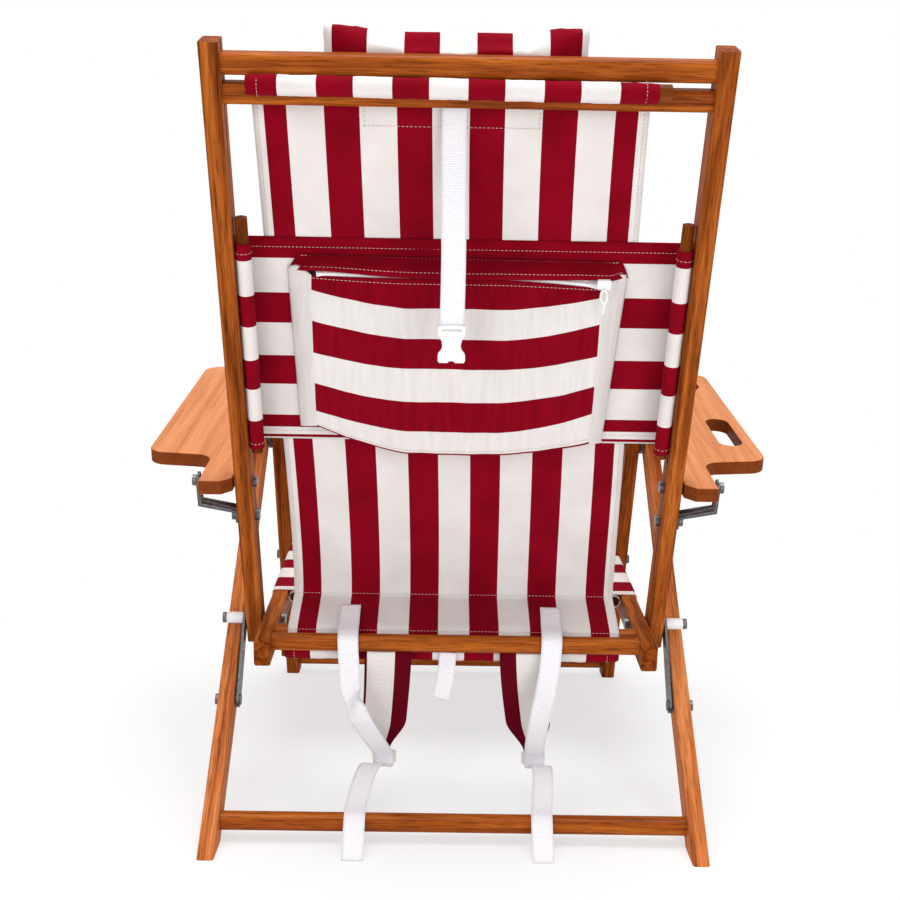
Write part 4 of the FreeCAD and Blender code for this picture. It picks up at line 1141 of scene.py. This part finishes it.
def strap(name, route, width, turns=None):
    """A ribbon along the route in mm. turns gives its tilt in degrees at each point of the route."""
    line = smooth_line([Vector(p) * MM for p in route])
    far = measured(line)
    turns = turns or [0.0] * len(route)

    def across(i):
        share = far[i] / far[-1] * (len(turns) - 1)
        k = min(int(share), len(turns) - 2)
        tilt = math.radians(turns[k] + (turns[k + 1] - turns[k]) * smooth(0, 1, share - k))
        way = (line[min(i + 1, len(line) - 1)] - line[max(i - 1, 0)]).normalized()
        flat = Vector((1, 0, 0)) - way * way.x
        flat.normalize()
        return Matrix.Rotation(tilt, 3, way) @ flat

    piece = cloth(name, steps(-width / 2, width / 2, 6), list(range(len(line))),
                  lambda s, i: line[i] + across(i) * s * MM, lambda s, i: (s * MM, far[i]),
                  webbing, WEB_THICK)
    return piece, far[-1]


CLOSURE_X = -13
CLOSURE_TOP = on_post(CLOSURE_X, 9.0, 640) / MM
CLOSURE_LOW = on_post(CLOSURE_X, 9.7, 622) / MM - Vector((0, 0, 214))
closure, closure_long = strap("closure_webbing", [
    CLOSURE_TOP + Vector((0, -1, 0)), on_post(CLOSURE_X, 8.6, 624) / MM,
    on_post(CLOSURE_X, 9.0, 606) / MM + Vector((0, -4, 0)), CLOSURE_LOW + Vector((1, -3, 120)),
    CLOSURE_LOW + Vector((2, 1, 50)), CLOSURE_LOW + Vector((1, 0, 2))], 25.0)
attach(closure, "back")
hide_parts("closure_strap")

TAIL_TOP = REAR_BAR / MM + Vector((-10, 0, -11.5))
closure_tail, tail_long = strap("closure_tail_webbing", [
    TAIL_TOP + Vector((1, 2, 0)), TAIL_TOP + Vector((0, 0, -18)), TAIL_TOP + Vector((-3, -1, -38)),
    TAIL_TOP + Vector((-7, -2, -56))], 20.0, [0, 4, 8, 10])
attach(closure_tail, "seat")
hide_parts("closure_tail")
print("closure strap and its tail in mm:", round(closure_long / MM), round(tail_long / MM))

# %% [markdown]
# ### Shoulder straps and their webbing
# Two padded straps hang under the seat, for carrying the folded chair. Each is red canvas with a white
# quilted panel let into it, and tapers towards its adjuster. A webbing strap is sewn on the sling, goes over
# both bars, down to the adjuster and out of it, and its tail lies over the bar of the rear legs and reaches
# the floor behind it. The left one is twisted on its way down.

# %% Shoulder straps
STRAP_TOP = SECOND_BAR / MM + Vector((0, 6, -10.8))
STRAP_HEAD = -34.0
STRAP_LONG = 138.0
STRAP_HALF = 27.5
PANEL_INNER, PANEL_OUTER = -0.27, 0.86
PAD_X = 79.0
LEAN_LEFT, LEAN_RIGHT = -9.0, 17.0


def shoulder_half(z):
    """Half the strap's width at a depth below its top, in mm."""
    return STRAP_HALF * (1 - 0.62 * smooth(0.72, 1.0, z / STRAP_LONG)) * (1 - 0.03 * z / STRAP_LONG)


def shoulder_strap(name, x, lean, outer):
    """A crowned pad with a quilted panel, as one closed form; outer is the side away from the middle."""
    around = steps(0, 2 * math.pi, 64)[:-1]
    down = steps(0, STRAP_LONG, 70)

    def place(turn, z):
        wide = shoulder_half(z)
        s = math.cos(turn)
        thick = 5.2 * (1 - 0.55 * smooth(0.9, 1.0, z / STRAP_LONG))
        inside = PANEL_INNER < s * outer < PANEL_OUTER
        quilt = 0.55 * math.sin(z / 1.1 + 2 * s) * math.sin(math.pi * (s * outer - PANEL_INNER) / 1.13)
        quilt = quilt if inside else 0.0
        rims = min(abs(s * outer - PANEL_INNER), abs(s * outer - PANEL_OUTER))
        bulge = thick + quilt + 0.9 * max(0.0, 1 - rims / 0.05)
        out = math.copysign(abs(math.sin(turn)) ** 0.55, math.sin(turn)) * bulge
        bow = STRAP_HEAD * (1 - smooth(0.0, 95.0, z))
        return (STRAP_TOP + Vector((x + lean * (z / STRAP_LONG) ** 1.4 + s * wide, out + bow, -z))) * MM

    points = [place(a, z) for z in down for a in around]
    uvs = [(math.cos(a) * outer * STRAP_HALF * MM, z * MM) for z in down for a in around]
    n = len(around)
    faces = [(j * n + i, j * n + (i + 1) % n, (j + 1) * n + (i + 1) % n, (j + 1) * n + i)
             for j in range(len(down) - 1) for i in range(n)]
    faces += [tuple(reversed(range(n))), tuple(range((len(down) - 1) * n, len(down) * n))]
    piece = mesh_piece(name, points, faces, uvs, strap_canvas)
    faces_out(piece.data)
    return piece


STRAP_BANDS = [("U", -60, -8.3, 1), ("U", -8.3, 24.4, 0), ("U", 24.4, 60, 1)]
# The straps' darker reds are painted shade.
strap_canvas = canvas("red_and_quilted_strap", 0.0, STRAP_BANDS, reds=STRAP_REDS_PAINTED_SHADE)
# Forward and up, in mm: over the rear legs' bar, and from the sling over both seat bars
BAR_RUN = [(-228, 36.6), (-240, 35.2), (-249, 29.0), (-261, 17.5), (-273, 4.5), (-279, 1.4)]
SLING_RUN = [(-96, 233.8), (-113, 227.9), (-131.5, 222.6), (-152, 221.5), (-165, 216.0), (-166.8, 203),
             (-167, 185)]
# Across the chair for each of those points, and whole places in mm for the hanging stretch between them
web_places = {
    "left": ((-127, -127, -126.5, -126, -125.5, -125, -124), (-112, -111.5, -111.5, -111.5, -111.5, -111.5),
             [(-122.2, -166.5, 152), (-115, -163, 122), (-99, -150, 90), (-88, -138, 68), (-84, -130, 56),
              (-84, -130, 46), (-87, -141, 46), (-94, -154, 57), (-100, -168, 60), (-106, -190, 52),
              (-110, -214, 41)]),
    "right": ((114.5, 114, 113, 112, 111.5, 111, 110), (99.5, 99, 98.7, 98.5, 98.5, 98.5),
              [(106.3, -166.5, 156), (99.5, -160, 112), (97, -147, 82), (97.5, -136, 64), (98, -130, 56),
               (98, -130, 46), (100, -141, 46), (103.5, -155, 57), (105, -168, 60), (104, -190, 52),
               (101.5, -214, 41)])}
for side, sign, x, lean in (("left", -1, -PAD_X, LEAN_LEFT), ("right", 1, PAD_X, LEAN_RIGHT)):
    pad = shoulder_strap("shoulder_pad_" + side, x, lean, sign)
    over, low, hanging = web_places[side]
    route = [(px, *spot) for px, spot in zip(over, SLING_RUN)] + hanging
    route += [(px, *spot) for px, spot in zip(low, BAR_RUN)]
    turns = [0.0] * len(route)
    turns[7:10] = (-12.0, -62.0, -20.0) if sign < 0 else (6.0, 10.0, 4.0)
    web, web_long = strap("strap_webbing_cloth_" + side, route, 24.0, turns)
    # Two rows of stitches across the sewn end
    box_lines = [[Vector((over[0] + s, -99.5 - d, 233.7 - d * 0.357)) * MM for s in steps(-10, 10, 10)]
                 for d in (0, 8)]
    box_seam = stitches("strap_webbing_seam_" + side, box_lines, 3.2, 0.7)
    for piece in (pad, web, box_seam):
        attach(piece, "seat")
    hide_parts("shoulder_strap_" + side)
    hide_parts("strap_webbing_" + side)
    print(side, "webbing in mm:", round(web_long / MM))

# %% [markdown]
# ### Buckle and adjusters
# The buckle half and the strap adjusters are small nylon mouldings. The buckle is an outline with a bar for
# the webbing, a waist and a wide foot, and the adjuster is a frame with a middle bar. Each is an outline
# that is given depth and then rounded with a bevel.

# %% Mouldings
def moulding(name, loops, depth, spot, rounding):
    """A plate from outlines in mm, the first one outside and the others holes, rounded at its edges."""
    curve = bpy.data.curves.new(name, "CURVE")
    curve.dimensions = "2D"
    curve.fill_mode = "BOTH"
    curve.extrude = (depth / 2 - rounding) * MM
    curve.bevel_depth = rounding * MM
    curve.bevel_resolution = 3
    curve.offset = -rounding * MM
    for outline in loops:
        spline = curve.splines.new("POLY")
        curve_points(spline, [(x * MM, z * MM, 0) for x, z in outline])
        spline.use_cyclic_u = True
    mesh = curve_mesh(name + "_outline", curve)
    mesh.transform(Matrix.Translation(Vector(spot) * MM) @ Matrix.Rotation(math.pi / 2, 4, "X"))
    faces_out(mesh, merge=1e-6)
    mesh.materials.clear()
    mesh.materials.append(nylon)
    piece = new_object(name, mesh)
    return piece


def mirrored(half):
    """A closed outline from its right half, listed from top to bottom."""
    return half + [(-x, z) for x, z in reversed(half) if x > 0]


buckle_edge = mirrored([(12.5, 3), (14.2, 1), (14.2, -7), (12.6, -9), (10.6, -12), (9.6, -16), (9.6, -19),
                        (10.8, -22), (13.4, -25), (14.0, -28), (14.0, -33), (12.5, -35), (4.0, -35),
                        (2.6, -33.5), (0.0, -33)])
buckle_slot = mirrored([(10.0, -0.5), (10.0, -2.6)])
buckle_spot = CLOSURE_LOW + Vector((1, 0, 0))
buckle = moulding("closure_buckle_half", [buckle_edge, buckle_slot], 8.4, buckle_spot, 1.3)
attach(buckle, "back")
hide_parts("closure_buckle")
for side, x in (("left", -84.0), ("right", 97.0)):
    outer = mirrored([(12.5, 0), (14.5, -2), (14.5, -13), (12.5, -15)])
    upper = mirrored([(10.8, -2.8), (10.8, -6.0)])
    lower = mirrored([(10.8, -9.0), (10.8, -12.2)])
    spot = STRAP_TOP + Vector((x, -3, -STRAP_LONG))
    adjuster = moulding("ladder_adjuster_" + side, [outer, upper, lower], 5.0, spot, 0.9)
    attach(adjuster, "seat")
    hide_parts("strap_adjuster_" + side)
print("buckle corners:", len(buckle_edge))

# %% [markdown]
# ### Arm brackets
# A strip of flat steel ties the outer end of each arm bolt to the post. It is bent twice: upright against the
# arm, then sloping in under it, then upright again on the post's face. Its outline is given depth, once for
# each side, and its edges are eased.

# %% Brackets
STRIP = 3.0
STRIP_HALF = 7.0
ARM_BOLT_UP, FOOT_BOLT_UP = 198.0, 152.0
BEND_UP, SHELF_UP = ARM_BOLT_UP - 28.0, ARM_BOLT_UP - 37.0
ARM_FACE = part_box("arm_brackets")[1][0] / MM - STRIP
strip_edge = [(POST_FACE, FOOT_BOLT_UP - STRIP_HALF), (POST_FACE + STRIP, FOOT_BOLT_UP - STRIP_HALF),
              (POST_FACE + STRIP, SHELF_UP - STRIP), (ARM_FACE + STRIP, BEND_UP - STRIP),
              (ARM_FACE + STRIP, ARM_BOLT_UP + STRIP_HALF), (ARM_FACE, ARM_BOLT_UP + STRIP_HALF),
              (ARM_FACE, BEND_UP), (POST_FACE, SHELF_UP)]
points, faces = [], []
for sign in (-1, 1):
    first, n = len(points), len(strip_edge)
    points += [on_post(sign * x, out, high) for out in (-STRIP_HALF, STRIP_HALF) for x, high in strip_edge]
    faces += [tuple(range(first, first + n)), tuple(range(first + 2 * n - 1, first + n - 1, -1))]
    faces += [(first + i, first + (i + 1) % n, first + n + (i + 1) % n, first + n + i) for i in range(n)]
strips = mesh_piece("arm_bracket_strips", points, faces, [(p.x, p.z) for p in points], zinc)
faces_out(strips.data, ease=0.5 * MM)
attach(strips, "back")
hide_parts("arm_brackets")
print("brackets reach out to", round(ARM_FACE + STRIP, 1), "mm")

# %% [markdown]
# ## The limp straps
# When the chair folds, the legs close up under the seat, and the limp straps there crumple. Here each of
# them, and its adjuster, is only given a mesh of its own.

# %% Own meshes
LIMP = ("shoulder_pad", "strap_webbing", "ladder_adjuster")
for piece in [o for o in bpy.data.objects if o.name.startswith(LIMP)]:
    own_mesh(piece)

# %% [markdown]
# ## Finish
# The scene is brought up to date.

# %% Finish
bpy.context.view_layer.update()
